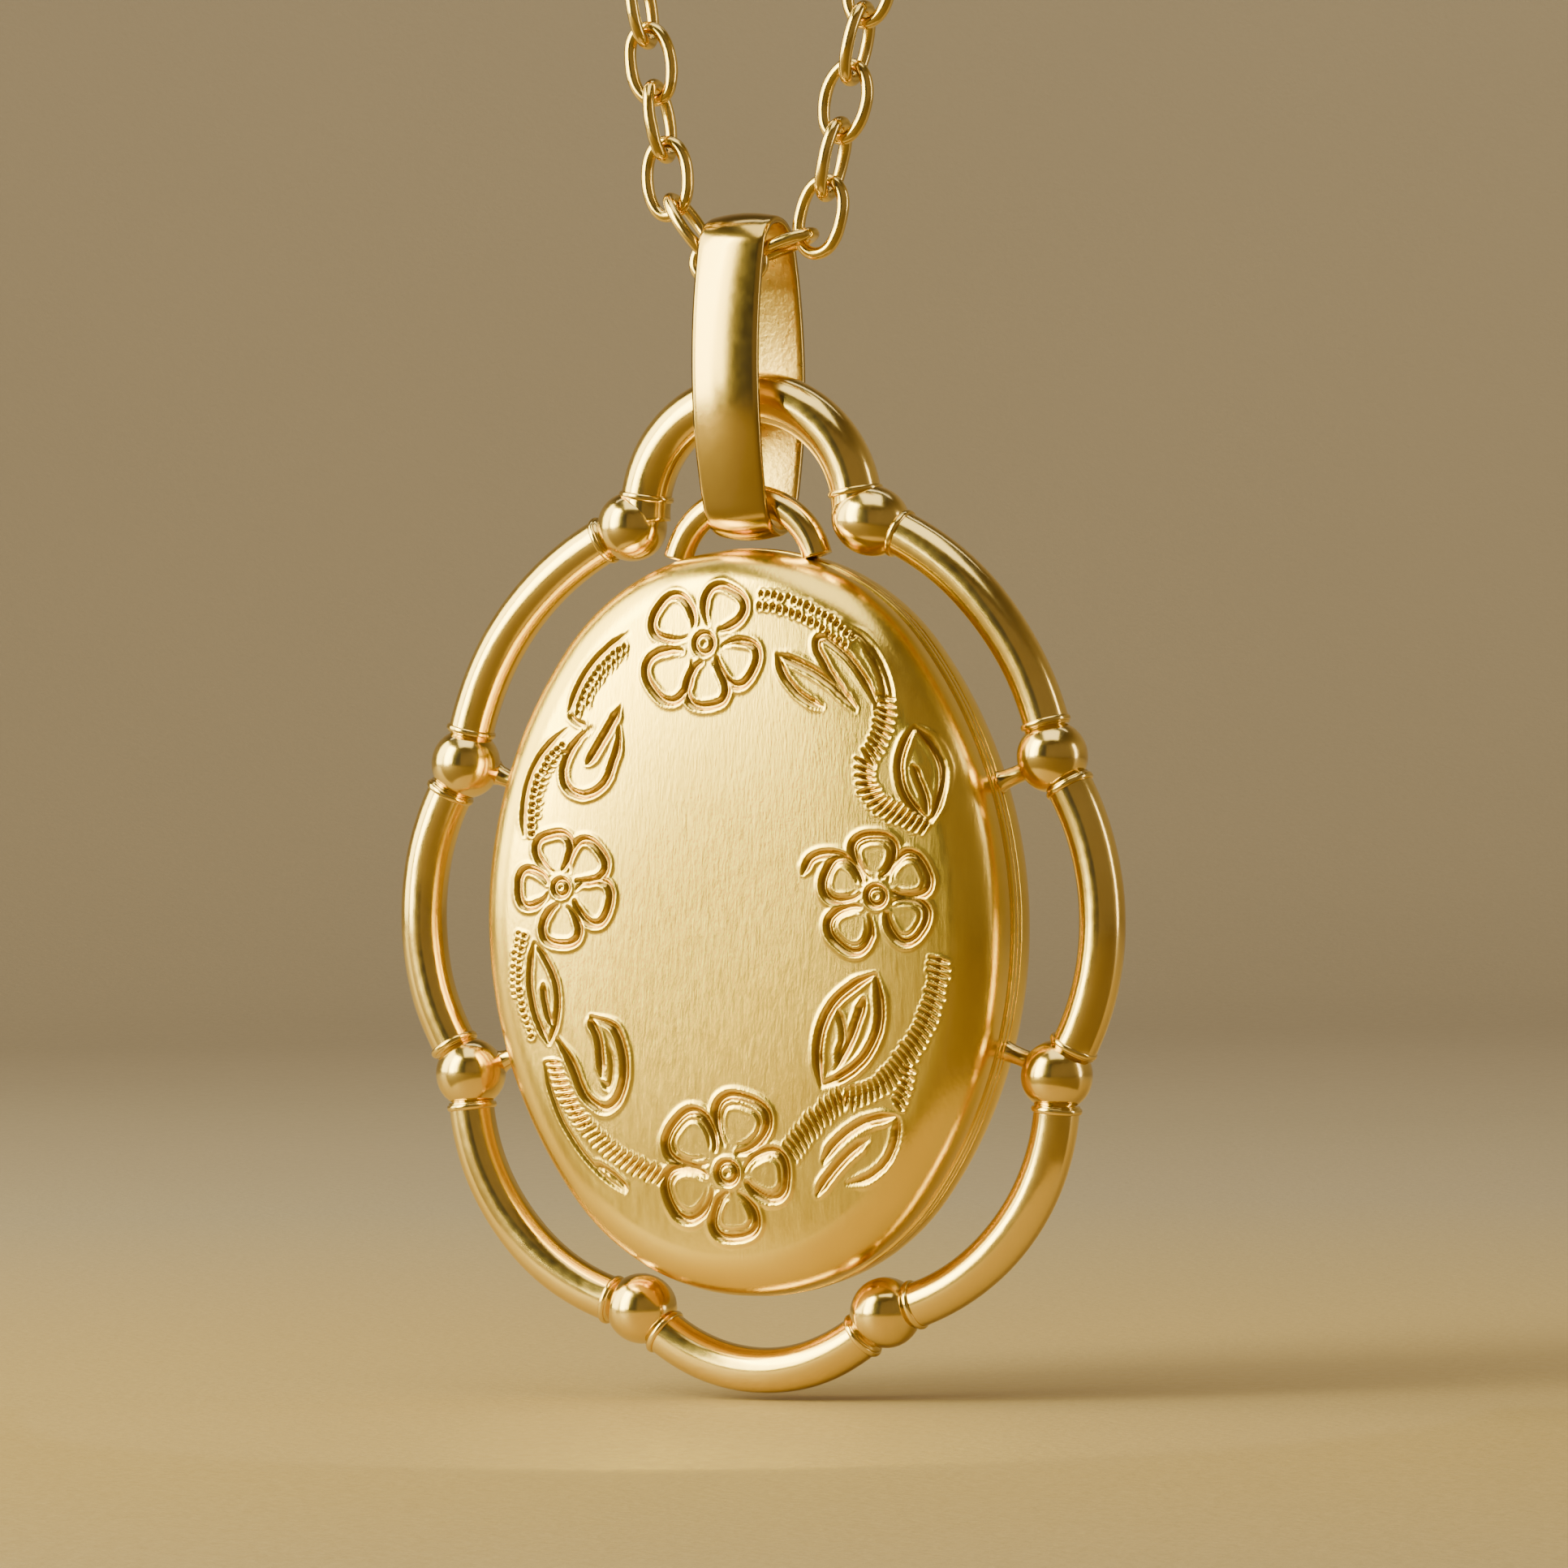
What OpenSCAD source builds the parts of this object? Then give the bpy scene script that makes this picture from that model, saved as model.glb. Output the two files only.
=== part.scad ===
// Oval locket in a scalloped tube frame, hung by a tall bail on a fine cable chain.
// Millimetres, +Z up, the front cover faces -Y. The origin is the point between
// the two ends of the chain from which the necklace hangs.

/* [Case] */
// Width of the oval case
case_w = 22.8; // [22.4:0.1:23]
// Height of the oval case
case_h = 30; // [29.6:0.1:30.2]
// Thickness of the closed case
case_t = 6.5; // [6.3:0.1:6.8]
// Wall thickness of each cover
cover_wall = 0.45; // [0.4:0.05:0.55]
// Radius of the soft edge round each cover
edge_r = 2; // [1.8:0.1:2.1]

/* [Hinge] */
// Outer diameter of the hinge barrel
knuckle_d = 0.8; // [0.7:0.02:0.8]
// Length of the whole hinge barrel
hinge_l = 5; // [4:0.5:5.5]
// Diameter of the hinge pin
pin_d = 0.36; // [0.3:0.02:0.4]

/* [Frame] */
// Diameter of the frame's round tubes
tube_d = 1.85; // [1.7:0.05:1.9]
// Diameter of the top arch's tube
arch_d = 2.05; // [1.85:0.05:2.1]
// Diameter of the beads between the tubes
bead_d = 2.85; // [2.7:0.05:2.9]
// Radius of the arch at the top of the frame
arch_r = 4.7; // [4.6:0.05:4.8]

/* [Bail] */
// Width of the bail's band
bail_w = 2.9; // [2.7:0.1:2.9]
// Outer height of the bail
bail_h = 13.16; // [13.04:0.12:13.28]
// Outer depth of the bail, front to back
bail_depth = 5; // [4.88:0.12:5.12]
// Diameter of the wire of the ring on the case
ring_wire = 1.2; // [1.1:0.05:1.25]

/* [Chain] */
// Length of one chain link
link_l = 3.5; // [3.4:0.05:3.6]
// Width of one chain link
link_w = 2.3; // [2.2:0.05:2.3]
// Diameter of the link wire
link_wire = 0.5; // [0.45:0.05:0.5]
// Lean of the left strand from upright
left_lean = 9; // [8:1:14]
// Lean of the right strand from upright
right_lean = 14; // [10:1:18]

/* [Hidden] */
$fn = 72;
a_bit = 0.01;            // how far soldered faces stand apart
half_w = case_w / 2;
half_h = case_h / 2;
half_t = case_t / 2;

// An oval of four arcs: tight ones at the ends and wide ones at the sides. Their centres
// are the corners of four equal right triangles with whole-number sides a, b and c, so
// neighbouring arcs meet on a line that runs a / c across and b / c up.
function four_arcs(half_w, half_h, a, b, c) = let (k = (half_h - half_w) / (a + b - c))
    [half_w + a * k, a * k, half_w - (c - a) * k, b * k, [a / c, b / c]];
function side_r(arcs) = arcs[0];
function side_x(arcs) = arcs[1];
function end_r(arcs) = arcs[2];
function end_z(arcs) = arcs[3];
function split(arcs) = arcs[4];
case_arcs = four_arcs(half_w, half_h, 4, 3, 5);

// Covers, as heights above the seam plane and insets from the outline
seam_gap = 0.03;         // each cover stops this short of the seam plane
rib_top = 0.33;          // the rib beside the seam
groove_top = 0.52;       // the groove between the rib and the soft edge
groove_in = 0.2;
side_in = 0.05;          // the side wall stands this far inside the rib
crown_from = 7;          // the face starts to fall away at this inset
crown_r = 40;
edge_in = side_in + edge_r;
edge_up = half_t - crown_r + sqrt(pow(crown_r - edge_r, 2) - pow(crown_from - edge_in, 2));

// Stack inside each cover
bezel_out = side_in + cover_wall + 0.08;
bezel_in = bezel_out + 0.45;
tongue = 0.4;           // the back bezel's tongue crosses the seam by this much
ledge_in = bezel_in + 1.2;
ledge_at = 0.95;
ledge_t = 0.3;
seat_in = bezel_in + 0.25;
photo_at = 0.78;
photo_t = 0.15;
window_at = 0.55;
window_t = 0.2;
lip_in = seat_in + 0.5;
frame_in = seat_in + 0.9;

// Hinge: the barrel lies on the seam, in a notch in both rims
hinge_x = -half_w - 0.05;
knuckle_gap = 0.06;      // clearance at a knuckle's ends and round the knuckles of the other cover
front_knuckle_l = hinge_l * 0.36;
pin_clear = 0.03;        // running clearance all round the pin

// Frame: the beads' places, clockwise from the top left and back to it
frame_z = 0.2;           // the frame's middle sits this far above the case's
top_bead = [5.3, 15.8];
side_bead = [13, 6.3];
bottom_bead = [5.4, 15.8];
BEADS = [
    [-top_bead[0], top_bead[1]], [top_bead[0], top_bead[1]],
    [side_bead[0], side_bead[1]], [side_bead[0], -side_bead[1]],
    [bottom_bead[0], -bottom_bead[1]], [-bottom_bead[0], -bottom_bead[1]],
    [-side_bead[0], -side_bead[1]], [-side_bead[0], side_bead[1]],
    [-top_bead[0], top_bead[1]]
];
upper_rise = 1.7;        // how far each tube bows out from the line between its beads
side_rise = 2.05;
lower_rise = 2.3;
bottom_rise = 2.4;
RISES = [0, upper_rise, side_rise, lower_rise, bottom_rise, lower_rise, side_rise, upper_rise];
arch_z = 16.2;
collar_proud = 0.12;
collar_t = 0.16;
collar_at = bead_d / 2 - 0.1;    // a collar's middle, from the middle of its bead
arch_foot = top_bead[0] - arch_r;
arch_collar_angle = 90 - asin((sqrt(pow(collar_at, 2) - pow(arch_foot, 2)) + top_bead[1] - arch_z) / arch_r);
lug_d = 0.8;
lug_y = 0.58;            // the lugs join the frame to the back cover only

// Ring on the case, bail and the way the bail sits on the ring
ring_r = 3.2;
ring_z = 13.8;
ring_y = -0.35;
bail_wall = 0.45;
bail_edge = 0.27;        // the band is thinner towards its edges
bail_z = 21.88;          // middle of the bail
bail_arcs = four_arcs(bail_depth / 2, bail_h / 2, 24, 7, 25);

// Chain: flat links face the front, the links between them stand edge on
chain_z = bail_z + end_z(bail_arcs) - 0.11;
link_r = (link_w - link_wire) / 2;
link_straight = link_l - link_w;
link_play = 0.05;
edge_span = link_l;
chain_shift = 0.8;       // the middle link hangs this far left of the bail's middle
pairs = 3;               // pairs of links in each strand after the bail
// Where a strand starts, then the climb of its first link, its second and all others
left_side = [link_straight / 2 + chain_shift, 54, 88, 90 - left_lean];
right_side = [link_straight / 2 - chain_shift, 18, 74, 90 - right_lean];
jump_r = 1.15;
jump_wire = 0.5;
end_ring_r = 1.75;
end_ring_wire = 0.6;

// Spring ring clasp
clasp_r = 2.3;
clasp_tube = 1.2;
clasp_bore = 0.8;
bolt_d = 0.68;
clasp_gap = 44;          // the mouth that the bolt closes, in degrees
bolt_tail = 62;          // length of the bolt inside the tube, in degrees
bolt_nose = 8;
bolt_travel = 48;
mouth_at = 60;           // place of the mouth's near end, counted from +X
knob_d = 0.5;
knob_l = 1.15;
eye_r = 0.62;
eye_wire = 0.4;
spring_wire = 0.12;
spring_turns = 10;

hang_height = 43;        // the hanging point above the middle of the case

// ---------------------------------------------------------------- placing

// Lowers the locket from the middle of its case to its place under the hanging point
module hung() translate([0, 0, -hang_height]) children();

// Turns a form whose height counts from the seam plane towards the front or the back
module cover_side(front) rotate([front ? 90 : -90, 0, 0]) children();

// ---------------------------------------------------------------- case

// The case's outline, made smaller by inset all round
module oval_2d(inset) {
    side = side_r(case_arcs) - inset;
    split_x = side * split(case_arcs)[0] - side_x(case_arcs);
    split_z = side * split(case_arcs)[1];
    intersection() {
        translate([-side_x(case_arcs), 0]) circle(r = side, $fn = 240);
        translate([side_x(case_arcs), 0]) circle(r = side, $fn = 240);
        square([case_w, 2 * split_z], center = true);
    }
    for (end = [0, 1]) mirror([0, end]) intersection() {
        translate([0, end_z(case_arcs)]) circle(r = end_r(case_arcs) - inset, $fn = 180);
        translate([-split_x, split_z]) square([2 * split_x, half_h]);
    }
}

// Prism between the two lines through a corner that run along one and other
module wedge(corner, one, other) {
    far = 2 * case_h;
    translate([0, 0, -case_t]) linear_extrude(2 * case_t)
        polygon([corner, corner + far * one, corner + far * other]);
}

// Runs a section round an oval; in the section the outline is at x = 0, inwards is -x
module round_the_arcs(arcs) {
    across = split(arcs)[0];
    up = split(arcs)[1];
    for (side = [0, 1]) mirror([side, 0, 0]) intersection() {
        translate([-side_x(arcs), 0, 0]) rotate_extrude($fn = 240) translate([side_r(arcs), 0]) children();
        wedge([-side_x(arcs), 0], [across, up], [across, -up]);
    }
    for (end = [0, 1]) mirror([0, end, 0]) intersection() {
        translate([0, end_z(arcs), 0]) rotate_extrude($fn = 180) translate([end_r(arcs), 0]) children();
        wedge([0, end_z(arcs)], [across, up], [-across, up]);
    }
}

module oval_ring(out_inset, in_inset, from, to)
    translate([0, 0, from]) linear_extrude(to - from) difference() {
        oval_2d(out_inset);
        oval_2d(in_inset);
    }

module oval_plate(inset, from, thick)
    translate([0, 0, from]) linear_extrude(thick) oval_2d(inset);

// The space inside the rim's outline, grown a bit, for cutting what is soldered to it
module case_outline(grow)
    rotate([90, 0, 0]) translate([0, 0, -half_t]) linear_extrude(case_t) oval_2d(-grow);

// Section of a cover's edge filled down to the seam, less a wall's thickness
module edge_section(wall) {
    crown_end = (crown_from - edge_in) * (crown_r - wall) / (crown_r - edge_r);
    translate([-crown_from, 0]) square([crown_from - side_in - wall, edge_up]);
    translate([-edge_in, edge_up]) intersection() {
        circle(r = edge_r - wall);
        square(edge_r);
    }
    translate([-crown_from, 0]) intersection() {
        translate([0, half_t - crown_r]) circle(r = crown_r - wall, $fn = 720);
        square([crown_end, half_t]);
    }
}

module cover() {
    round_the_arcs(case_arcs) difference() {
        union() {
            edge_section(0);
            translate([-crown_from, 0]) square([crown_from, rib_top]);
        }
        edge_section(cover_wall);
        translate([-groove_in, rib_top]) square([1, groove_top - rib_top]);
        translate([-crown_from - 1, -1]) square([crown_from + 2, 1 + seam_gap]);
    }
    oval_plate(crown_from, half_t - cover_wall, cover_wall);
}

// Room for the hinge in a rim: tight round the cover's own knuckles, loose round the others
module hinge_notch(front) {
    tight = knuckle_d + 2 * a_bit;
    loose = knuckle_d + 2 * knuckle_gap;
    middle = front_knuckle_l + knuckle_gap;
    translate([hinge_x, 0, 0]) cylinder(d = front ? tight : loose, h = middle, center = true);
    for (up = [0, 1]) mirror([0, 0, up]) translate([hinge_x, 0, middle / 2])
        cylinder(d = front ? loose : tight, h = hinge_l / 2 + knuckle_gap - middle / 2);
}

module front_cover() color("goldenrod") hung() difference() {
    cover_side(true) cover();
    hinge_notch(true);
}

module back_cover() color("goldenrod") hung() difference() {
    cover_side(false) cover();
    hinge_notch(false);
}

module bezel(start) {
    oval_ring(bezel_out, bezel_in, start, ledge_at);
    oval_ring(bezel_out + 0.1, ledge_in, ledge_at, ledge_at + ledge_t);
}

module front_bezel() color("gold") hung() cover_side(true) bezel(tongue + 0.1);
module back_bezel() color("gold") hung() cover_side(false) bezel(-tongue);

module photo_frame() {
    oval_ring(seat_in, frame_in, 0.33, window_at - 0.02);
    oval_ring(seat_in, lip_in, 0.13, 0.33);
}

module front_photo_frame() color("khaki") hung() cover_side(true) photo_frame();
module back_photo_frame() color("khaki") hung() cover_side(false) photo_frame();
module front_window() color("lightcyan") hung() cover_side(true) oval_plate(seat_in, window_at, window_t);
module back_window() color("lightcyan") hung() cover_side(false) oval_plate(seat_in, window_at, window_t);
module front_photo() color("ivory") hung() cover_side(true) oval_plate(seat_in, photo_at, photo_t);
module back_photo() color("ivory") hung() cover_side(false) oval_plate(seat_in, photo_at, photo_t);

// ---------------------------------------------------------------- hinge

module knuckle(low, high) translate([hinge_x, 0, low]) difference() {
    cylinder(d = knuckle_d, h = high - low);
    translate([0, 0, -1]) cylinder(d = pin_d + 2 * pin_clear, h = high - low + 2);
}

module front_hinge_knuckle() color("goldenrod") hung() knuckle(-front_knuckle_l / 2, front_knuckle_l / 2);

module back_hinge_knuckles() color("goldenrod") hung() for (up = [0, 1]) mirror([0, 0, up])
    knuckle(front_knuckle_l / 2 + knuckle_gap, hinge_l / 2);

module hinge_pin() color("silver") hung()
    translate([hinge_x, 0, -hinge_l / 2]) cylinder(d = pin_d, h = hinge_l);

// ---------------------------------------------------------------- frame

// A tube bows out by rise from the line between beads a and b
function bow_r(a, b, rise) = (pow(norm(b - a), 2) / 4 + rise * rise) / (2 * rise);
function bow_half_angle(a, b, rise) = asin(norm(b - a) / 2 / bow_r(a, b, rise));

// Places children on the bow's circle, with its middle at the origin and +X outwards
module on_bow(a, b, rise) {
    along = (b - a) / norm(b - a);
    outward = [-along[1], along[0]];
    middle = (a + b) / 2 - outward * (bow_r(a, b, rise) - rise);
    translate([middle[0], 0, middle[1]]) rotate([90, 0, 0])
        rotate([0, 0, atan2(outward[1], outward[0])]) children();
}

module on_arch() translate([0, 0, arch_z]) rotate([90, 0, 0]) rotate([0, 0, 90]) children();

module bowed_wire(radius, half_angle, wire) rotate([0, 0, -half_angle])
    rotate_extrude(angle = 2 * half_angle, $fn = 120) translate([radius, 0]) circle(d = wire, $fn = 36);

module bead_balls(grow) for (i = [0:7]) let (p = BEADS[i]) translate([p[0], 0, p[1]]) sphere(d = bead_d + 2 * grow);

module in_frame() color("gold") hung() translate([0, 0, frame_z]) children();

// The tube from bead number i to the next one, clockwise
module frame_tube(i) in_frame() difference() {
    on_bow(BEADS[i], BEADS[i + 1], RISES[i])
        bowed_wire(bow_r(BEADS[i], BEADS[i + 1], RISES[i]),
                   bow_half_angle(BEADS[i], BEADS[i + 1], RISES[i]), tube_d);
    bead_balls(a_bit);
}

module frame_top_arch() in_frame() difference() {
    on_arch() bowed_wire(arch_r, 90, arch_d);
    bead_balls(a_bit);
}
module frame_upper_right_tube() frame_tube(1);
module frame_right_tube() frame_tube(2);
module frame_lower_right_tube() frame_tube(3);
module frame_bottom_tube() frame_tube(4);
module frame_lower_left_tube() frame_tube(5);
module frame_left_tube() frame_tube(6);
module frame_upper_left_tube() frame_tube(7);

module frame_beads() in_frame() bead_balls(0);

// Thin collars round a bow's tube, at the angle at either side of its middle
module collar_pair(radius, angle, tube) for (end = [-1, 1]) rotate([0, 0, end * angle])
    translate([radius, 0, 0]) rotate([90, 0, 0]) difference() {
        cylinder(d = tube + 2 * collar_proud, h = collar_t, center = true);
        cylinder(d = tube + 2 * a_bit, h = 2 * collar_t, center = true);
    }

module frame_collars() color("khaki") hung() translate([0, 0, frame_z]) {
    for (i = [1:7]) {
        radius = bow_r(BEADS[i], BEADS[i + 1], RISES[i]);
        half_angle = bow_half_angle(BEADS[i], BEADS[i + 1], RISES[i]);
        on_bow(BEADS[i], BEADS[i + 1], RISES[i])
            collar_pair(radius, half_angle - 2 * asin(collar_at / 2 / radius), tube_d);
    }
    difference() {
        on_arch() collar_pair(arch_r, arch_collar_angle, arch_d);
        bead_balls(a_bit);
    }
}

// Short soldered lugs between the side beads and the back cover's rim
module frame_lugs() color("goldenrod") hung() difference() {
    for (sx = [-1, 1], sz = [-1, 1]) {
        foot = [sx * (side_bead[0] - 3.6), sz * (side_bead[1] - 1.4) + frame_z];
        bead = [sx * side_bead[0], sz * side_bead[1] + frame_z];
        span = bead - foot;
        translate([foot[0], lug_y, foot[1]]) rotate([0, 90 - atan2(span[1], span[0]), 0])
            cylinder(d = lug_d, h = norm(span));
    }
    translate([0, 0, frame_z]) bead_balls(a_bit);
    case_outline(a_bit);
}

// ---------------------------------------------------------------- ring and bail

module locket_ring() color("gold") hung() difference() {
    translate([0, ring_y, ring_z]) rotate([90, 0, 0])
        rotate_extrude(angle = 180, $fn = 96) translate([ring_r, 0]) circle(d = ring_wire, $fn = 36);
    case_outline(a_bit);
}

// Section of the bail's band: flat inside, gently crowned outside
module bail_section() {
    crown = bail_wall - bail_edge;
    crown_r = (bail_w * bail_w / 4 + crown * crown) / (2 * crown);
    intersection() {
        translate([-bail_wall, -bail_w / 2]) square([bail_wall, bail_w]);
        translate([-crown_r, 0]) circle(r = crown_r, $fn = 180);
    }
}

module bail() color("gold") hung() translate([0, 0, bail_z]) rotate([90, 0, 90])
    round_the_arcs(bail_arcs) bail_section();

// ---------------------------------------------------------------- chain

// Point of a strand after n spans; a span is an edge-on link, then a flat link, and so on
function heading(n, side) = side[min(n, 2) + 1];
function span_l(n) = n % 2 == 0 ? edge_span : link_straight;
function strand_point(n, side) = n == 0 ? [side[0], chain_z]
    : strand_point(n - 1, side)
        + span_l(n - 1) * [cos(heading(n - 1, side)), sin(heading(n - 1, side))];

// One link along X, lying in the X-Z plane
module chain_link() rotate([90, 0, 0]) {
    for (end = [0, 1]) mirror([end, 0, 0]) translate([link_straight / 2, 0, 0]) rotate([0, 0, -90])
        rotate_extrude(angle = 180, $fn = 48) translate([link_r, 0]) circle(d = link_wire, $fn = 24);
    for (side = [-1, 1]) translate([-link_straight / 2, side * link_r, 0]) rotate([0, 90, 0])
        cylinder(d = link_wire, h = link_straight, $fn = 24);
}

module strand(side) for (n = [0 : 2 * pairs]) {
    middle = (strand_point(n, side) + strand_point(n + 1, side)) / 2;
    translate([middle[0], 0, middle[1]]) rotate([0, -heading(n, side), 0])
        rotate([n % 2 == 0 ? 90 : 0, 0, 0]) chain_link();
}

module chain_middle_link() color("gold") hung() translate([-chain_shift, 0, chain_z]) chain_link();
module chain_left_strand() color("gold") hung() mirror([1, 0, 0]) strand(left_side);
module chain_right_strand() color("gold") hung() strand(right_side);

module wire_ring(r, wire) rotate([90, 0, 0])
    rotate_extrude($fn = 72) translate([r, 0]) circle(d = wire, $fn = 24);

// Places its children beyond the end of a strand, with +X along the strand
module at_strand_end(side, beyond) {
    last = strand_point(2 * pairs + 1, side);
    translate([last[0], 0, last[1]]) rotate([0, -side[3], 0]) translate([beyond, 0, 0]) children();
}

// A ring's middle lies this far beyond the joint point of the last link
function past_link(r, wire) = r - link_r - (wire - link_wire) / 2;

module chain_end_ring() color("gold") hung()
    at_strand_end(right_side, past_link(end_ring_r, end_ring_wire)) wire_ring(end_ring_r, end_ring_wire);

module clasp_jump_ring() color("gold") hung() mirror([1, 0, 0])
    at_strand_end(left_side, past_link(jump_r, jump_wire)) wire_ring(jump_r, jump_wire);

// ---------------------------------------------------------------- clasp

eye_at = past_link(jump_r, jump_wire) + jump_r - jump_wire / 2 - link_play - eye_wire / 2 + eye_r;
clasp_at = eye_at + eye_r + clasp_r + clasp_tube / 2 - 0.1;

module at_clasp() mirror([1, 0, 0]) at_strand_end(left_side, clasp_at) rotate([90, 0, 0]) children();

// Part of a round tube on the clasp's circle, from one angle to another
module clasp_arc(d, from, to) rotate([0, 0, from])
    rotate_extrude(angle = to - from, $fn = 96) translate([clasp_r, 0]) circle(d = d, $fn = 32);

bolt_from = mouth_at - bolt_tail;
bolt_to = mouth_at + clasp_gap + bolt_nose;
knob_at = bolt_from + 14 + bolt_travel;
spring_from = bolt_from - 100;

module clasp_body() color("gold") hung() at_clasp() {
    difference() {
        clasp_arc(clasp_tube, mouth_at + clasp_gap, mouth_at + 360);
        clasp_arc(clasp_bore, mouth_at + clasp_gap - 1, mouth_at + clasp_gap + bolt_nose + 4);
        clasp_arc(clasp_bore, spring_from - 2 + 360, mouth_at + 361);
        rotate([0, 0, knob_at - bolt_travel - 8]) rotate_extrude(angle = bolt_travel + 16, $fn = 96)
            translate([clasp_r + 0.1, -0.3]) square([1, 0.6]);
    }
    translate([-(clasp_r + clasp_tube / 2 + eye_r - 0.1), 0, 0]) rotate([90, 0, 0])
        rotate_extrude($fn = 48) translate([eye_r, 0]) circle(d = eye_wire, $fn = 24);
}

module clasp_bolt() color("khaki") hung() at_clasp() {
    clasp_arc(bolt_d, bolt_from, bolt_to);
    rotate([0, 0, knob_at]) translate([clasp_r, 0, 0]) rotate([0, 90, 0])
        cylinder(d = knob_d, h = knob_l, $fn = 24);
}

// Points of the spring's wire section n, on a helix that follows the clasp's circle
spring_steps = spring_turns * 9;
spring_r = clasp_bore / 2 - spring_wire / 2 - 0.05;
function spring_mid(n) = let (a = spring_from + (bolt_from - 1 - spring_from) * n / spring_steps,
                              t = 40 * n, r = clasp_r + spring_r * cos(t))
    [r * cos(a), r * sin(a), spring_r * sin(t)];
function unit(v) = v / norm(v);
function spring_ring(n) = let (along = unit(spring_mid(n + 1) - spring_mid(n - 1)),
                               side = unit(cross(along, [0, 0, 1])), up = cross(side, along))
    [for (k = [0:5]) spring_mid(n) + spring_wire / 2 * (side * cos(60 * k) + up * sin(60 * k))];

module clasp_spring() color("silver") hung() at_clasp() polyhedron(
    points = [for (n = [0:spring_steps]) each spring_ring(n)],
    faces = concat(
        [[0, 1, 2, 3, 4, 5]],
        [for (n = [0:spring_steps - 1], k = [0:5]) let (next = (k + 1) % 6)
            each [[6 * n + k, 6 * n + 6 + k, 6 * n + 6 + next], [6 * n + k, 6 * n + 6 + next, 6 * n + next]]],
        [[for (k = [5:-1:0]) 6 * spring_steps + k]]));

// ---------------------------------------------------------------- nodes

front_cover();
back_cover();
front_bezel();
back_bezel();
front_photo_frame();
back_photo_frame();
front_window();
back_window();
front_photo();
back_photo();
front_hinge_knuckle();
back_hinge_knuckles();
hinge_pin();
frame_top_arch();
frame_upper_right_tube();
frame_right_tube();
frame_lower_right_tube();
frame_bottom_tube();
frame_lower_left_tube();
frame_left_tube();
frame_upper_left_tube();
frame_beads();
frame_collars();
frame_lugs();
locket_ring();
bail();
chain_middle_link();
chain_left_strand();
chain_right_strand();
clasp_jump_ring();
clasp_body();
clasp_bolt();
clasp_spring();
chain_end_ring();
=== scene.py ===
"""An oval locket in a scalloped tube frame, hanging by its bail from a cable chain."""
import math

import bmesh
import bpy
import numpy as np
from mathutils import Matrix, Vector


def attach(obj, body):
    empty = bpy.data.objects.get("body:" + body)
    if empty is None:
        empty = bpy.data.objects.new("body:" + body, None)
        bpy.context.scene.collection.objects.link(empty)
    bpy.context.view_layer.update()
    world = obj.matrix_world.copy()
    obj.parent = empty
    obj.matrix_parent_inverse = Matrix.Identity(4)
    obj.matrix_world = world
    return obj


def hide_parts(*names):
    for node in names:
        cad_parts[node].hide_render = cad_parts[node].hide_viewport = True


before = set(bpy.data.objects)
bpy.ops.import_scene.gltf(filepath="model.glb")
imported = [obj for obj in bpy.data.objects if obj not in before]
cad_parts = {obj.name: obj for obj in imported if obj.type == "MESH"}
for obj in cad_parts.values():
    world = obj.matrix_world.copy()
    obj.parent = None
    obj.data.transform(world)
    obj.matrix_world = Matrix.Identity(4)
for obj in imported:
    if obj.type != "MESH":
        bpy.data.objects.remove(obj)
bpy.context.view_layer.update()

MM = 0.001
HANG = 43.0                  # the hanging point above the middle of the case, mm
RNG = np.random.default_rng(11)
TAU = 2 * math.pi


# ------------------------------------------------------------------ mesh tools
# Shapes are made in millimetres from the middle of the case: x right, y back, z up.

def make(name, points, faces, material, body, nodes, slot):
    """A smooth piece from points and faces, riding on a body in place of some CAD nodes."""
    mesh = bpy.data.meshes.new(name)
    placed = (np.asarray(points, float) - (0, 0, HANG)) * MM
    mesh.from_pydata(placed.tolist(), [], [list(map(int, f)) for f in faces])
    outward = bmesh.new()
    outward.from_mesh(mesh)
    bmesh.ops.recalc_face_normals(outward, faces=outward.faces)
    outward.to_mesh(mesh)
    outward.free()
    mesh.polygons.foreach_set("use_smooth", [True] * len(mesh.polygons))
    mesh.materials.append(material)
    piece = bpy.data.objects.new(name, mesh)
    bpy.context.scene.collection.objects.link(piece)
    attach(piece, body)
    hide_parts(*nodes)
    return piece


def grid_faces(rows, cols, wrap_rows=False, wrap_cols=True, first=0):
    """Quads between rows of points; a wrapped direction closes on itself."""
    r = np.arange(rows if wrap_rows else rows - 1)
    c = np.arange(cols if wrap_cols else cols - 1)
    rr, cc = np.meshgrid(r, c, indexing="ij")
    nr, nc = (rr + 1) % rows, (cc + 1) % cols
    quads = np.stack([rr * cols + cc, rr * cols + nc, nr * cols + nc, nr * cols + cc], -1)
    return (quads.reshape(-1, 4) + first).tolist()


def joined(shapes):
    """One (points, faces) from several."""
    points, faces, count = [], [], 0
    for p, f in shapes:
        points.append(np.asarray(p, float))
        faces += [[i + count for i in one] for one in f]
        count += len(p)
    return np.concatenate(points), faces


def moved(shape, matrix):
    """A shape under a 4x4 matrix, in millimetres."""
    p = np.asarray(shape[0], float)
    m = np.array(matrix)
    return p @ m[:3, :3].T + m[:3, 3], shape[1]


def circle(radius, count):
    a = np.arange(count) / count * TAU
    return np.stack([radius * np.cos(a), radius * np.sin(a)], -1)


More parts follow.
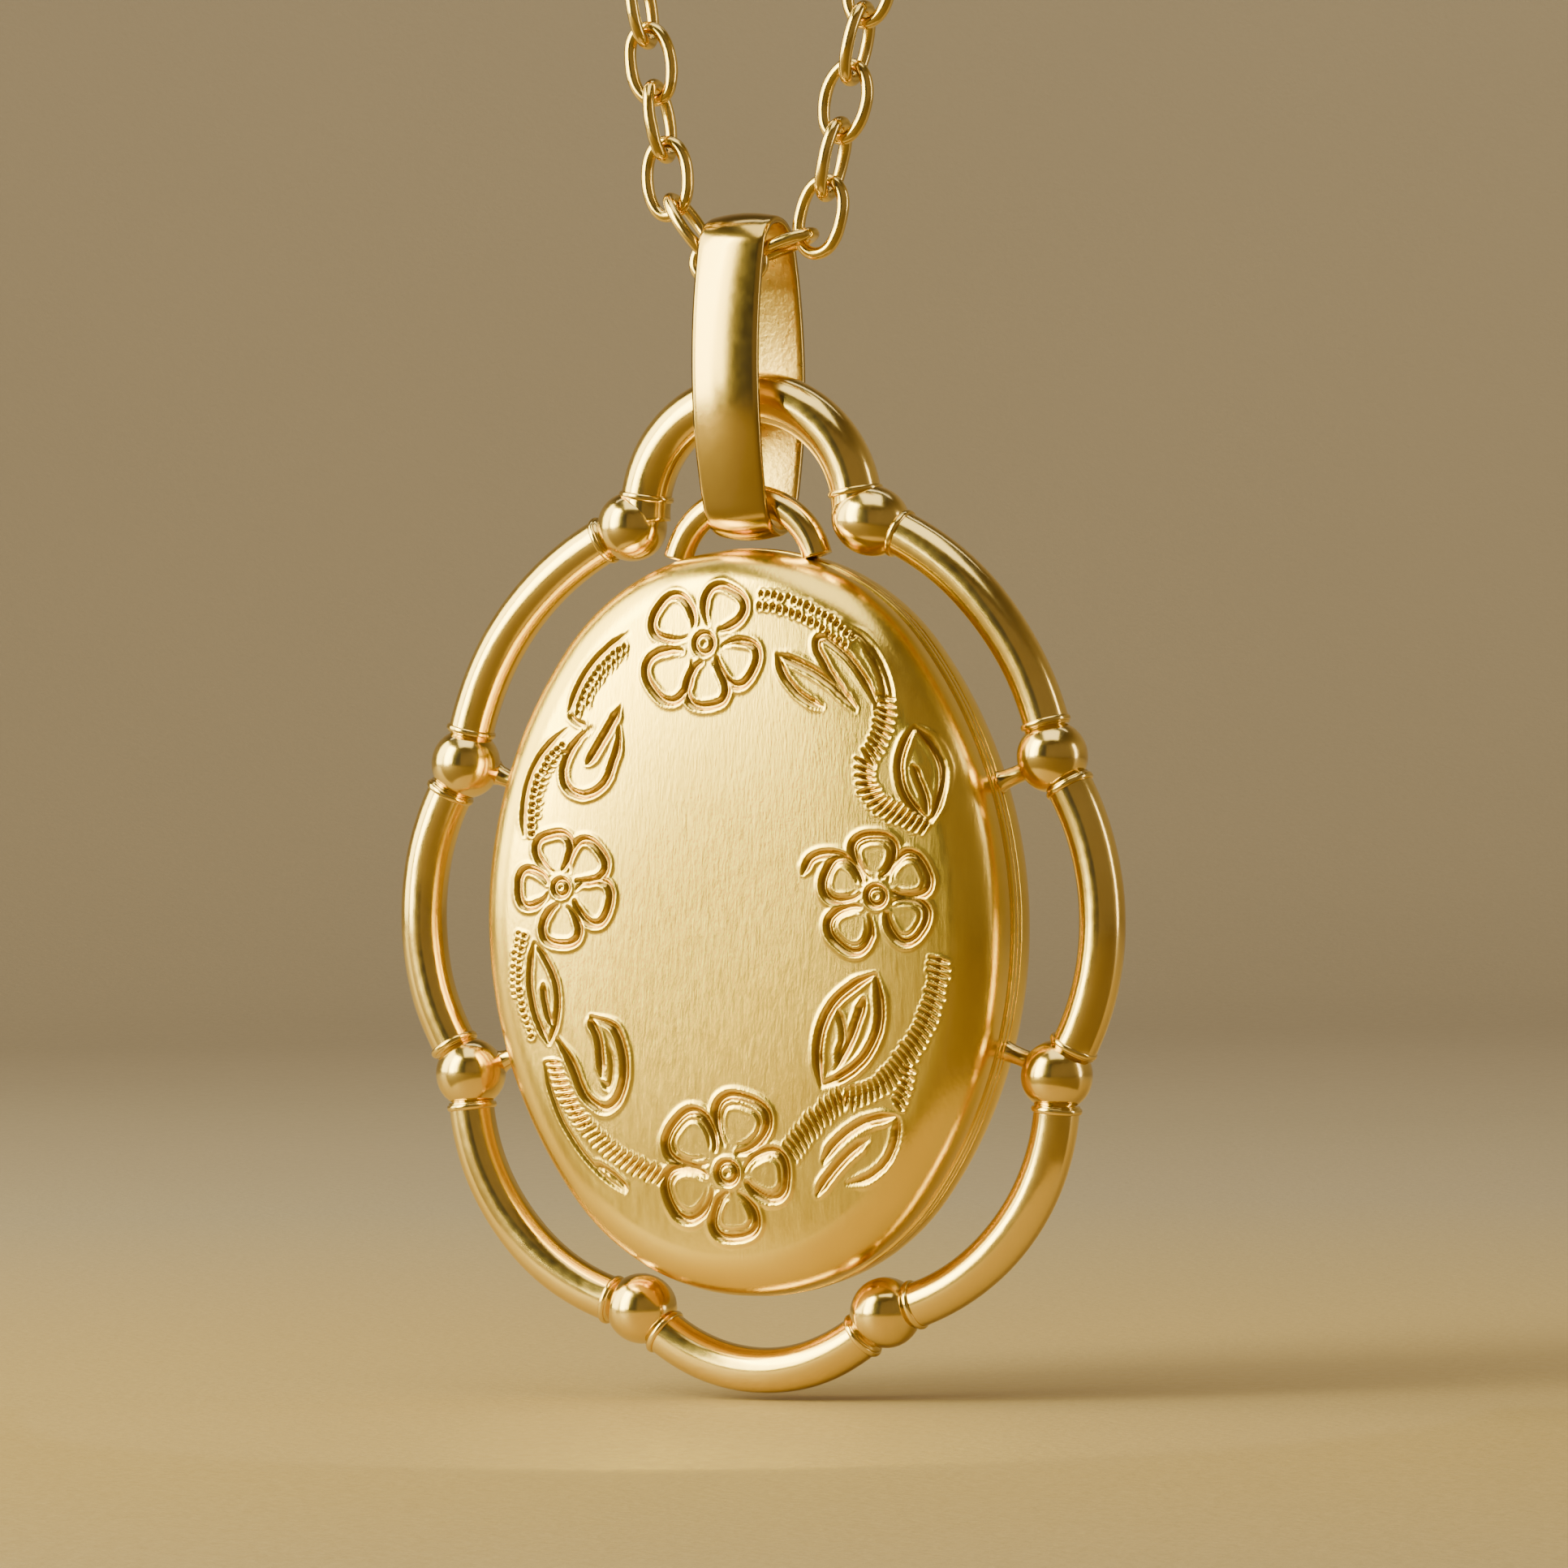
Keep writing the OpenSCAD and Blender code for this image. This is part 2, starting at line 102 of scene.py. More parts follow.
def sweep(path, section, closed, y=0.0):
    """Sweeps a section (outward, y) along a path in the x-z plane, moved back by y."""
    path = np.asarray(path, float)
    if closed:
        along = np.roll(path, -1, 0) - np.roll(path, 1, 0)
    else:
        along = np.gradient(path, axis=0)
    along /= np.linalg.norm(along, axis=1)[:, None]
    outward = np.stack([along[:, 1], -along[:, 0]], -1)
    rings = path[:, None, :] + outward[:, None, :] * section[None, :, :1]
    depth = np.broadcast_to(y + section[None, :, 1], rings.shape[:2])
    points = np.stack([rings[..., 0], depth, rings[..., 1]], -1).reshape(-1, 3)
    faces = grid_faces(len(path), len(section), wrap_rows=closed)
    if not closed:
        last = (len(path) - 1) * len(section)
        faces.append(list(range(len(section))))
        faces.append([last + i for i in range(len(section))][::-1])
    return points, faces


def arc(centre, radius, start, end, count):
    """Points on an arc in the x-z plane, in degrees anticlockwise from +x."""
    a = np.radians(np.linspace(start, end, count))
    return np.stack([centre[0] + radius * np.cos(a), centre[1] + radius * np.sin(a)], -1)


# ------------------------------------------------------------------ ovals of four arcs

class FourArcs:
    """An oval with wide arcs at the sides and tight ones at the ends. They meet where the outline's
    normal goes a across and b up; c is the long side of that right triangle."""

    def __init__(self, half_w, half_h, a, b, c):
        k = (half_h - half_w) / (a + b - c)
        self.side_r, self.side_x = half_w + a * k, a * k
        self.end_r, self.end_z = half_w - (c - a) * k, b * k
        self.split = math.atan2(b, a)
        turns = np.array([0, self.split, math.pi - self.split, math.pi + self.split,
                          TAU - self.split, TAU])
        radii = np.array([self.side_r, self.end_r, self.side_r, self.end_r, self.side_r])
        lengths = np.concatenate([[0], np.cumsum(np.diff(turns) * radii)])
        self.turns, self.shares = turns, lengths / lengths[-1]

    def angle(self, share):
        """Direction of the outward normal at that share of the way round."""
        return np.interp(np.asarray(share) % 1.0, self.shares, self.turns)

    def point(self, angle, inset=0.0):
        """Points of the outline, moved inwards by inset."""
        c, s = np.cos(angle), np.sin(angle)
        side = np.abs(s) <= math.sin(self.split) + 1e-12
        side_r, end_r = self.side_r - inset, self.end_r - inset
        x = np.where(side, side_r * c - self.side_x * np.sign(c), end_r * c)
        z = np.where(side, side_r * s, end_r * s + self.end_z * np.sign(s))
        return x, z


# ------------------------------------------------------------------ engraving

class Relief:
    """Heights in mm over the front cover, built up from graver strokes."""

    STEP = 0.02                  # spacing of the raster, mm
    REACH = 2.2                  # a stroke and its burr end here, in half widths
    BURR_AT, BURR_WIDTH = 1.3, 0.33      # where the burr is highest and how wide, in half widths
    BURR_GONE = 0.02             # another cut this deep, in mm, takes most of a burr away

    def __init__(self, half_w, half_h):
        self.low = np.array([-half_w, -half_h])
        shape = (np.array([half_h, half_w]) * 2 / self.STEP).astype(int) + 1
        self.cut = np.zeros(shape, np.float32)
        self.lip = np.zeros(shape, np.float32)

    def stroke(self, path, half_width, depth, lip=0.35):
        """A cut along a path; half_width and depth are numbers or one value per point."""
        path = np.asarray(path, float)
        widths = np.broadcast_to(half_width, len(path)).astype(float)
        depths = np.broadcast_to(depth, len(path)).astype(float)
        for p, q, wp, wq, dp, dq in zip(path, path[1:], widths, widths[1:], depths, depths[1:]):
            reach = max(wp, wq) * self.REACH
            lo = np.floor((np.minimum(p, q) - reach - self.low) / self.STEP).astype(int)
            hi = np.ceil((np.maximum(p, q) + reach - self.low) / self.STEP).astype(int) + 1
            lo = np.maximum(lo, 0)
            hi = np.minimum(hi, np.array(self.cut.shape)[::-1])
            if (hi <= lo).any():
                continue
            x = self.low[0] + np.arange(lo[0], hi[0]) * self.STEP
            z = self.low[1] + np.arange(lo[1], hi[1]) * self.STEP
            gx, gz = np.meshgrid(x, z)
            span = q - p
            t = ((gx - p[0]) * span[0] + (gz - p[1]) * span[1]) / max(span @ span, 1e-9)
            t = np.clip(t, 0, 1)
            away = np.hypot(gx - p[0] - t * span[0], gz - p[1] - t * span[1])
            w, d = wp + (wq - wp) * t, dp + (dq - dp) * t
            share = away / w
            cut = -d * np.cos(np.minimum(share, 1) * math.pi / 2) ** 1.5
            burr = d * lip * np.exp(-((share - self.BURR_AT) / self.BURR_WIDTH) ** 2)
            part = (slice(lo[1], hi[1]), slice(lo[0], hi[0]))
            self.cut[part] = np.minimum(self.cut[part], cut)
            self.lip[part] = np.maximum(self.lip[part], burr)

    def finished(self):
        return self.cut + self.lip * np.exp(-(self.cut / self.BURR_GONE) ** 2)

    def sample(self, field, x, z):
        """Field at points between the raster's own, by straight interpolation."""
        gx = np.clip((x - self.low[0]) / self.STEP, 0, field.shape[1] - 1.001)
        gz = np.clip((z - self.low[1]) / self.STEP, 0, field.shape[0] - 1.001)
        ix, iz = gx.astype(int), gz.astype(int)
        fx, fz = gx - ix, gz - iz
        low = field[iz, ix] * (1 - fx) + field[iz, ix + 1] * fx
        high = field[iz + 1, ix] * (1 - fx) + field[iz + 1, ix + 1] * fx
        return low * (1 - fz) + high * fz


HAND_SHAKE = 0.006           # a hand's wander from one point of a stroke to the next, mm
HAND_BURR = 0.28             # the burr's height as a share of the cut's depth


def bow(p, q, bulge, count=28):
    """A curve from p to q that stands off to its left by bulge."""
    p, q = np.array(p, float), np.array(q, float)
    span = q - p
    left = np.array([-span[1], span[0]]) / np.linalg.norm(span)
    knee = (p + q) / 2 + left * bulge * 2
    t = np.linspace(0, 1, count)[:, None]
    return p * (1 - t) ** 2 + knee * 2 * t * (1 - t) + q * t ** 2


def through(*points):
    """A smooth curve through a few points, by a Catmull-Rom spline of seven steps a span."""
    p = np.array(points, float)
    p = np.concatenate([[2 * p[0] - p[1]], p, [2 * p[-1] - p[-2]]])
    t = np.linspace(0, 1, 7, endpoint=False)[:, None]
    parts = [0.5 * (2 * b + (c - a) * t + (2 * a - 5 * b + 4 * c - d) * t ** 2
                    + (3 * b - a - 3 * c + d) * t ** 3)
             for a, b, c, d in zip(p, p[1:], p[2:], p[3:])]
    return np.concatenate(parts + [p[-2:-1]])


def chain_of(*parts):
    """Curves joined end to end."""
    return np.concatenate([parts[0]] + [p[1:] for p in parts[1:]])


def hand_cut(relief, path, half_width=0.19, depth=0.135, fade=(0.45, 0.45)):
    """A stroke that shakes a little, as a hand-held graver's does. Its ends have only the shares in
    fade of its width and depth, and it swells to the full within a quarter of its length."""
    t = np.linspace(0, 1, len(path))
    swell = np.minimum(1, np.minimum(fade[0] + t * 4, fade[1] + (1 - t) * 4))
    shake = np.cumsum(RNG.normal(0, HAND_SHAKE, (len(path), 2)), axis=0)
    shake -= t[:, None] * shake[-1]
    relief.stroke(path + shake, half_width * swell, depth * swell, HAND_BURR)


# A petal's outline and the fainter echo inside it: size, half width and depth
PETAL_LINES = ((1.0, 0.19, 0.14), (0.74, 0.10, 0.055))
PETAL_FOOT = 0.29            # a petal starts this share of its length from the middle
PETAL_HEART = 0.62           # the echo is drawn smaller about this share of the length


def petal(relief, centre, length, turn, spread, heavy, echo):
    """One petal's outline: out from the middle, round its broad end and back."""
    t = np.linspace(0.045, 0.955, 44) + RNG.uniform(-0.02, 0.02)
    out = PETAL_FOOT + (1 - PETAL_FOOT) * (0.5 - 0.5 * np.cos(TAU * t)) ** 0.86
    side = np.sign(np.sin(TAU * t)) * np.abs(np.sin(TAU * t)) ** 0.8
    side = side * spread * (0.66 + 0.56 * out)
    c, s = math.cos(math.radians(turn)), math.sin(math.radians(turn))
    for inner, width, depth in PETAL_LINES[: 2 if echo else 1]:
        u = length * (out - PETAL_HEART) * inner + length * PETAL_HEART
        v = length * side * inner
        path = np.stack([centre[0] + u * c - v * s, centre[1] + u * s + v * c], -1)
        hand_cut(relief, path, width * heavy, depth * heavy, (0.35, 0.6))


def flower(relief, centre, petals, heavy=1.0, echo=False):
    """Petals, each a direction and a length, round a ring with a pit in it."""
    turns = [turn for turn, _ in petals]
    for turn, length in petals:
        gaps = [(turn - other) % 360 for other in turns if other != turn]
        room = math.radians(min(min(gaps), 360 - max(gaps)))
        petal(relief, centre, length, turn, min(0.35, room * 0.34), heavy, echo)
    size = min(length for _, length in petals) * 0.16
    ring = np.array(centre) + circle(size, 25)
    ring = np.concatenate([ring, ring[:2]])
    relief.stroke(ring, 0.15 * heavy, 0.12 * heavy)
    relief.stroke([centre, np.array(centre) + (0.02, 0.02)], 0.12, 0.05)


def across_path(path, gap):
    """Evenly spaced points of a path with their leftward and forward directions."""
    steps = np.linalg.norm(np.diff(path, axis=0), axis=1)
    run = np.concatenate([[0], np.cumsum(steps)])
    at = np.arange(gap / 2, run[-1], gap)
    middle, ahead, back = (np.stack([np.interp(at + by, run, path[:, 0]),
                                     np.interp(at + by, run, path[:, 1])], -1)
                           for by in (0, 0.05, -0.05))
    forward = ahead - back
    forward /= np.linalg.norm(forward, axis=1)[:, None]
    return middle, np.stack([-forward[:, 1], forward[:, 0]], -1), forward


def rope(relief, path, half=0.3, gap=0.29, slant=0.12, depth=0.15):
    """A band of short cuts across the path, like a twisted cord."""
    p, left, ahead = across_path(path, gap)
    for point, side, forward in zip(p, left, ahead):
        reach = half * RNG.uniform(0.85, 1.15)
        a = point - side * reach - forward * slant
        b = point + side * reach + forward * slant
        relief.stroke([a, (a + b) / 2, b], [0.08, 0.115, 0.08],
                      [depth * 0.5, depth, depth * 0.5], 0.5)


def dots(relief, path, gap=0.29, radius=0.12, depth=0.14):
    """A row of punched pits."""
    p, left, _ = across_path(path, gap)
    for point, side in zip(p, left):
        at = point + side * RNG.normal(0, 0.025)
        relief.stroke([at, at + side * 0.05], radius * RNG.uniform(0.8, 1.15), depth, 0.45)


def shifted(path, by):
    """The path moved to its left."""
    d = np.gradient(path, axis=0)
    d /= np.linalg.norm(d, axis=1)[:, None]
    return path + np.stack([-d[:, 1], d[:, 0]], -1) * by


def leaf(relief, tip, foot, left, right, vein, heavy):
    """Two bowed strokes from the tip to the foot, and a vein: its ends and its bulge."""
    hand_cut(relief, bow(tip, foot, -left), 0.185 * heavy, 0.135 * heavy)
    hand_cut(relief, bow(tip, foot, right), 0.185 * heavy, 0.135 * heavy)
    hand_cut(relief, bow(*vein), 0.18 * heavy, 0.12 * heavy, (0.2, 0.6))


def engraved_wreath():
    """Four flowers at the top, the sides and the foot, with sprays between them."""
    r = Relief(11.6, 15.2)
    flower(r, (-0.7, 11.2), ((144, 2.5), (60, 2.45), (-26, 2.45), (-86, 2.5), (-142, 2.9)))
    flower(r, (-7.2, 1.5), ((102, 2.2), (40, 2.35), (-20, 2.35), (-92, 2.3), (180, 2.0)))
    flower(r, (6.7, 1.1), ((92, 2.4), (28, 2.35), (-36, 2.3), (-130, 2.5), (158, 2.3)),
           1.1, echo=True)
    flower(r, (0.0, -9.9), ((140, 3.0), (72, 3.1), (-2, 2.6), (-82, 2.6), (204, 2.85)),
           1.15, echo=True)
    hand_cut(r, through((3.6, 2.0), (4.0, 2.6), (4.8, 2.8), (5.6, 2.6)), 0.2, 0.13)

    # Upper right: a double dotted curve, two leaves, two outer lines, a rope and a leaf
    upper = bow((1.6, 12.9), (5.6, 11.1), 0.35)
    dots(r, shifted(upper, 0.24))
    dots(r, shifted(upper, -0.24))
    hand_cut(r, bow((2.5, 10.7), (4.5, 8.6), -0.42))
    hand_cut(r, bow((2.5, 10.7), (5.9, 8.5), 0.28), 0.22)
    hand_cut(r, chain_of(bow((5.9, 8.5), (4.2, 10.9), 0.1), bow((4.2, 10.9), (4.6, 11.3), 0.25, 8),
                         bow((4.6, 11.3), (6.8, 8.5), 0.32)))
    hand_cut(r, bow((5.2, 11.9), (7.4, 8.8), 0.45), 0.16, 0.09, (0.2, 0.6))
    hand_cut(r, bow((6.0, 11.2), (7.1, 8.6), 0.3), 0.18, 0.1, (0.2, 0.6))
    rope(r, chain_of(bow((7.1, 9.1), (6.3, 6.4), 0.3), bow((6.3, 6.4), (6.8, 4.8), -0.22),
                     bow((6.8, 4.8), (8.9, 3.9), -0.1)), 0.38, 0.28)
    leaf(r, (8.3, 7.8), (9.0, 4.0), 0.95, 0.8, ((8.9, 4.1), (8.3, 6.2), -0.1), 1.1)

    # Upper left: two lined and dotted bands, and a curled leaf
    for p, q, bulge in (((-4.0, 11.7), (-6.8, 8.5), -0.5), ((-6.9, 7.9), (-8.9, 3.6), -0.75)):
        line = bow(p, q, bulge)
        hand_cut(r, line, 0.17, 0.1, (0.3, 0.5))
        dots(r, shifted(line, 0.38)[2:])
        dots(r, shifted(line, 0.66)[3:-4], 0.29, 0.09, 0.11)
    hand_cut(r, bow((-6.8, 8.5), (-6.0, 8.0), -0.12, 8), 0.15, 0.09)
    hand_cut(r, chain_of(bow((-5.7, 7.9), (-7.0, 6.2), -0.25), bow((-7.0, 6.2), (-6.1, 5.2), -0.35),
                         bow((-6.1, 5.2), (-4.8, 6.4), -0.3), bow((-4.8, 6.4), (-4.5, 7.9), -0.1)))
    hand_cut(r, bow((-4.4, 8.8), (-5.9, 6.5), 0.05), 0.22, 0.14, (0.2, 0.6))

    # Lower left: a dotted edge with a leaf, a curled leaf, a rope with its outer line
    edge = bow((-8.9, -0.3), (-8.6, -4.7), -0.5)
    dots(r, edge, 0.28, 0.1, 0.12)
    dots(r, shifted(edge, -0.3)[:16], 0.28, 0.09, 0.1)
    leaf(r, (-8.5, -0.7), (-7.9, -4.8), 0.45, 0.75, ((-7.7, -4.2), (-8.1, -2.4), 0.08), 0.85)
    hand_cut(r, through((-7.5, -4.6), (-6.9, -5.5), (-6.3, -6.8), (-5.4, -7.4), (-4.7, -6.9),
                        (-4.4, -5.6), (-4.8, -4.2), (-5.9, -3.7)), 0.22)
    hand_cut(r, through((-5.9, -3.9), (-5.6, -4.6), (-5.5, -6.1)), 0.2, 0.13, (0.8, 0.4))
    hand_cut(r, through((-5.6, -6.2), (-5.2, -6.5), (-5.0, -5.6), (-5.2, -4.7)), 0.13, 0.07, (0.3, 0.3))
    rope(r, bow((-7.8, -5.4), (-2.8, -10.1), -0.95))
    hand_cut(r, bow((-8.1, -5.6), (-4.6, -10.7), -0.75), 0.14, 0.08, (0.6, 0.6))
    hand_cut(r, bow((-6.0, -9.6), (-4.5, -10.6), 0.1), 0.17, 0.1)

    # Lower right: a leaf inside, a long rope in two bows, and a leaf outside
    leaf(r, (6.6, -2.0), (4.2, -6.4), 1.05, 1.2, ((4.8, -5.8), (6.1, -3.0), -0.12), 1.2)
    hand_cut(r, through((5.0, -3.4), (5.2, -4.4), (4.9, -5.4)), 0.17, 0.1)
    long_rope = chain_of(bow((9.3, -1.3), (7.6, -5.5), 0.42), bow((7.6, -5.5), (5.1, -6.9), 0.35),
                         bow((5.1, -6.9), (2.7, -9.2), -0.15))
    rope(r, long_rope, 0.38, 0.28, 0.1, 0.14)
    rope(r, bow((7.9, -5.6), (7.4, -7.2), 0.1), 0.25)
    hand_cut(r, bow((7.3, -7.6), (4.2, -9.4), -0.45), 0.23)
    hand_cut(r, bow((3.9, -10.7), (6.2, -8.5), 0.2), 0.22, 0.14, (0.5, 0.3))
    hand_cut(r, bow((7.4, -7.7), (5.1, -10.3), 0.75), 0.2, 0.13, (0.6, 0.3))
    return r


# ------------------------------------------------------------------ covers

CASE = FourArcs(11.4, 15.0, 4, 3, 5)
CASE_T = 6.5                         # thickness of the closed case
COVER_WALL = 0.45
SIDE_IN = 0.05                       # a cover's side stands this far in from its rim at the seam
EDGE_R = 2.0                         # radius of the rolled edge, and where its centre lies:
EDGE_IN = SIDE_IN + EDGE_R           # inwards of the outline
EDGE_UP = 0.926                      # above the seam
CROWN_TURN = math.radians(7.5)       # the face meets the rolled edge at this slope
FACE_SHARE = 0.8                     # this share of the rings lies on the face
CROWN_POWER = 3.7                    # how flat the face stays before it falls to the edge
FRONT_GRID, BACK_GRID = 400, 160     # squares across a cover's outside
FULL_SHADE_CUT = 0.12                   # a cut this deep gets the full painted shade in its groove
HINGE_X = -11.45
HINGE_L = 5.0
NOTCH_R = 0.455


def square_rings(n):
    """A square grid as rings: each point's share of the way out and of the way round, and the rim."""
    a, b = np.meshgrid(np.linspace(-1, 1, n + 1), np.linspace(-1, 1, n + 1), indexing="xy")
    a, b = a.ravel(), b.ravel()
    wide = np.abs(a) >= np.abs(b)
    safe_a = np.where(a == 0, 1e-12, a)
    safe_b = np.where(b == 0, 1e-12, b)
    turn = np.where(wide, np.where(a > 0, 0.0, 0.5) + b / safe_a / 8,
                    np.where(b > 0, 0.25, 0.75) - a / safe_b / 8)
    ring = np.maximum(np.abs(a), np.abs(b))
    turn[ring == 0] = 0
    rim = np.where(ring > 1 - 1e-9)[0]
    rim = rim[np.argsort(turn[rim] % 1.0)]
    return ring, turn % 1.0, rim


def cover_shape(front, n, relief=None):
    """A cover's shell, from the seam outwards: points, faces and each point's share of the painted
    shade laid into the engraved grooves.
    """
    ring, turn, rim = square_rings(n)
    angle = CASE.angle(turn)
    on_face = ring <= FACE_SHARE
    f = np.minimum(ring / FACE_SHARE, 1)
    border_in = EDGE_IN - EDGE_R * math.sin(CROWN_TURN)
    border_up = EDGE_UP + EDGE_R * math.cos(CROWN_TURN)
    past_face = np.maximum(ring - FACE_SHARE, 0) / (1 - FACE_SHARE)
    roll = CROWN_TURN + (math.pi / 2 - CROWN_TURN) * past_face
    bx, bz = CASE.point(angle, border_in)
    rx, rz = CASE.point(angle, EDGE_IN - EDGE_R * np.sin(roll))
    x = np.where(on_face, bx * f, rx)
    z = np.where(on_face, bz * f, rz)
    up = np.where(on_face, CASE_T / 2 - (CASE_T / 2 - border_up) * f ** CROWN_POWER,
                  EDGE_UP + EDGE_R * np.cos(roll))
    lean = np.where(on_face, CROWN_TURN * f ** (CROWN_POWER - 1), roll)
    groove = np.zeros(len(x))
    if relief:
        field = relief.finished()
        height = relief.sample(field, x, z) * np.clip((1.25 - lean) / 0.5, 0, 1)
        x = x + np.cos(angle) * np.sin(lean) * height
        z = z + np.sin(angle) * np.sin(lean) * height
        up = up + np.cos(lean) * height
        # Painted shade: the deeper the cut, the darker the colour laid into it, standing in for the
        # shade in the grooves
        groove = np.clip(-height / FULL_SHADE_CUT, 0, 1)
    points = [np.stack([x, up, z], -1)]
    faces = grid_faces(n + 1, n + 1, wrap_cols=False)

    rim_angle = angle[rim]
    inner_r = EDGE_R - COVER_WALL
    inner = [(EDGE_IN - inner_r * math.cos(t), EDGE_UP + inner_r * math.sin(t))
             for t in np.radians([0, 18, 36, 54, 72, 83])]
    wall_in = SIDE_IN + COVER_WALL
    # (inwards, up) from the rolled edge down past a fine groove to the seam, then up the inside
    profile = [(SIDE_IN, 0.62), (0.06, 0.555), (0.1, 0.525), (0.2, 0.515), (0.215, 0.43),
               (0.2, 0.345), (0.08, 0.33), (0.02, 0.315), (0.0, 0.28), (0.0, 0.07), (0.012, 0.042),
               (0.04, 0.03), (wall_in - 0.03, 0.03), (wall_in, 0.06)] + inner
    count = len(rim)
    first = sum(len(p) for p in points)
    for inset, height in profile:
        px, pz = CASE.point(rim_angle, inset)
        points.append(np.stack([px, np.full(count, height), pz], -1))
    nxt = np.roll(np.arange(count), -1)
    faces += np.stack([rim, rim[nxt], first + nxt, first + np.arange(count)], -1).tolist()
    faces += grid_faces(len(profile), count, first=first)
    last = first + (len(profile) - 1) * count
    faces.append([last + i for i in range(count)])
    points = np.concatenate(points)
    groove = np.concatenate([groove, np.zeros(len(points) - len(groove))])

    # The notch for the hinge's barrel
    dx, dy = points[:, 0] - HINGE_X, points[:, 1]
    away = np.hypot(dx, dy)
    inside = (away < NOTCH_R) & (np.abs(points[:, 2]) < HINGE_L / 2 + 0.06)
    points[inside, 0] = HINGE_X + dx[inside] / away[inside] * NOTCH_R
    points[inside, 1] = dy[inside] / away[inside] * NOTCH_R
    if front:
        points[:, 1] *= -1
    return points, faces, groove


def covers(satin_engraved, satin_plain):
    points, faces, groove = cover_shape(True, FRONT_GRID, engraved_wreath())
    piece = make("front_cover_engraved", points, faces, satin_engraved, "front_cover",
                 ["front_cover"], "satin_gold")
    # The painted groove shade goes on the mesh for the material to use
    shade_mark = piece.data.attributes.new("groove", "FLOAT", "POINT")
    shade_mark.data.foreach_set("value", groove.astype(np.float32))
    points, faces, _ = cover_shape(False, BACK_GRID)
    make("back_cover_shell", points, faces, satin_plain, "locket", ["back_cover"], "satin_gold")


# ------------------------------------------------------------------ frame, ring and bail

FRAME_Z = 0.2
TUBE_R = 1.85 / 2
ARCH_WIRE_R = 2.05 / 2
BEAD_R = 2.85 / 2
TUBE_IN_BEAD, COLLAR_IN_BEAD = 0.25, 0.06    # how far tubes and collars reach into a bead
SIDE_BEAD = (13.0, 6.3)
LUG_FOOT, LUG_Y = (9.4, 4.9), 0.58           # where the lugs' lines meet the case
# The beads clockwise from the top left, which comes again at the end
BEADS = [(-5.3, 15.8), (5.3, 15.8), (13.0, 6.3), (13.0, -6.3),
         (5.4, -15.8), (-5.4, -15.8), (-13.0, -6.3), (-13.0, 6.3), (-5.3, 15.8)]
# Each tube's first bead in that list and how far it bows out
RISES = {"frame_upper_right_tube": (1, 1.7), "frame_right_tube": (2, 2.05),
         "frame_lower_right_tube": (3, 2.3), "frame_bottom_tube": (4, 2.4),
         "frame_lower_left_tube": (5, 2.3), "frame_left_tube": (6, 2.05),
         "frame_upper_left_tube": (7, 1.7)}
ARCH_R, ARCH_Z = 4.7, 16.2
ARCH_COLLARS = (9.5, 170.5)
STRETCHED_BEAD, STRETCH, STRETCH_WAY = 1, 0.16, math.radians(-20)


def bow_circle(a, b, rise):
    """Centre, radius and start and end angles, in degrees, of the arc from bead a to bead b."""
    a, b = np.array(a), np.array(b)
    span = b - a
    length = np.linalg.norm(span)
    outward = np.array([-span[1], span[0]]) / length
    radius = (length ** 2 / 4 + rise ** 2) / (2 * rise)
    centre = (a + b) / 2 - outward * (radius - rise)
    mid = math.degrees(math.atan2(outward[1], outward[0]))
    half = math.degrees(math.asin(length / 2 / radius))
    return centre + (0, FRAME_Z), radius, mid + half, mid - half


def cut_back(radius, distance):
    """Angle, in degrees, that a chord of that length takes on a circle."""
    return math.degrees(2 * math.asin(distance / 2 / radius))


def uneven(points, size, pitch, seed):
    """Moves points a little by smooth waves, so that soft metal isn't dead straight."""
    waves = np.random.default_rng(seed)
    shift = np.zeros_like(points)
    for _ in range(5):
        way = waves.normal(0, 1, 3) * TAU / pitch
        shift += waves.normal(0, size / 3, 3) * np.sin(points @ way + waves.uniform(0, TAU))[:, None]
    return points + shift


def collar(centre, radius, at, wire_r):
    """A thin rounded ring of solder round a tube."""
    half_thick, proud, sunk = 0.13, 0.1, 0.06
    turns, sides = 48, 12
    middle = arc(centre, radius, at, at, 1)[0]
    out = np.array([math.cos(math.radians(at)), math.sin(math.radians(at))])
    along = np.array([-out[1], out[0]])
    rows = []
    for a in np.linspace(0, TAU, turns + 1)[:-1]:
        for k in np.linspace(0, TAU, sides + 1)[:-1]:
            r = wire_r - sunk + (proud + sunk) * (0.5 + 0.5 * math.cos(k))
            p = middle + out * r * math.cos(a) + along * half_thick * math.sin(k)
            rows.append((p[0], r * math.sin(a), p[1]))
    return np.array(rows), grid_faces(turns, sides, wrap_rows=True)


def ball(centre, radius, rows=40, cols=64):
    """A sphere whose poles point fore and aft."""
    t = np.linspace(0, math.pi, rows + 1)[1:-1]
    a = np.arange(cols) / cols * TAU
    tt, aa = np.meshgrid(t, a, indexing="ij")
    p = np.stack([np.sin(tt) * np.cos(aa), -np.cos(tt), np.sin(tt) * np.sin(aa)], -1).reshape(-1, 3)
    p = np.concatenate([p, [[0, -1, 0], [0, 1, 0]]]) * radius + (centre[0], 0, centre[1])
    faces = grid_faces(rows - 1, cols)
    n = (rows - 1) * cols
    faces += [[i, (i + 1) % cols, n] for i in range(cols)]
    faces += [[n - cols + i, n - cols + (i + 1) % cols, n + 1] for i in range(cols)]
    return p, faces


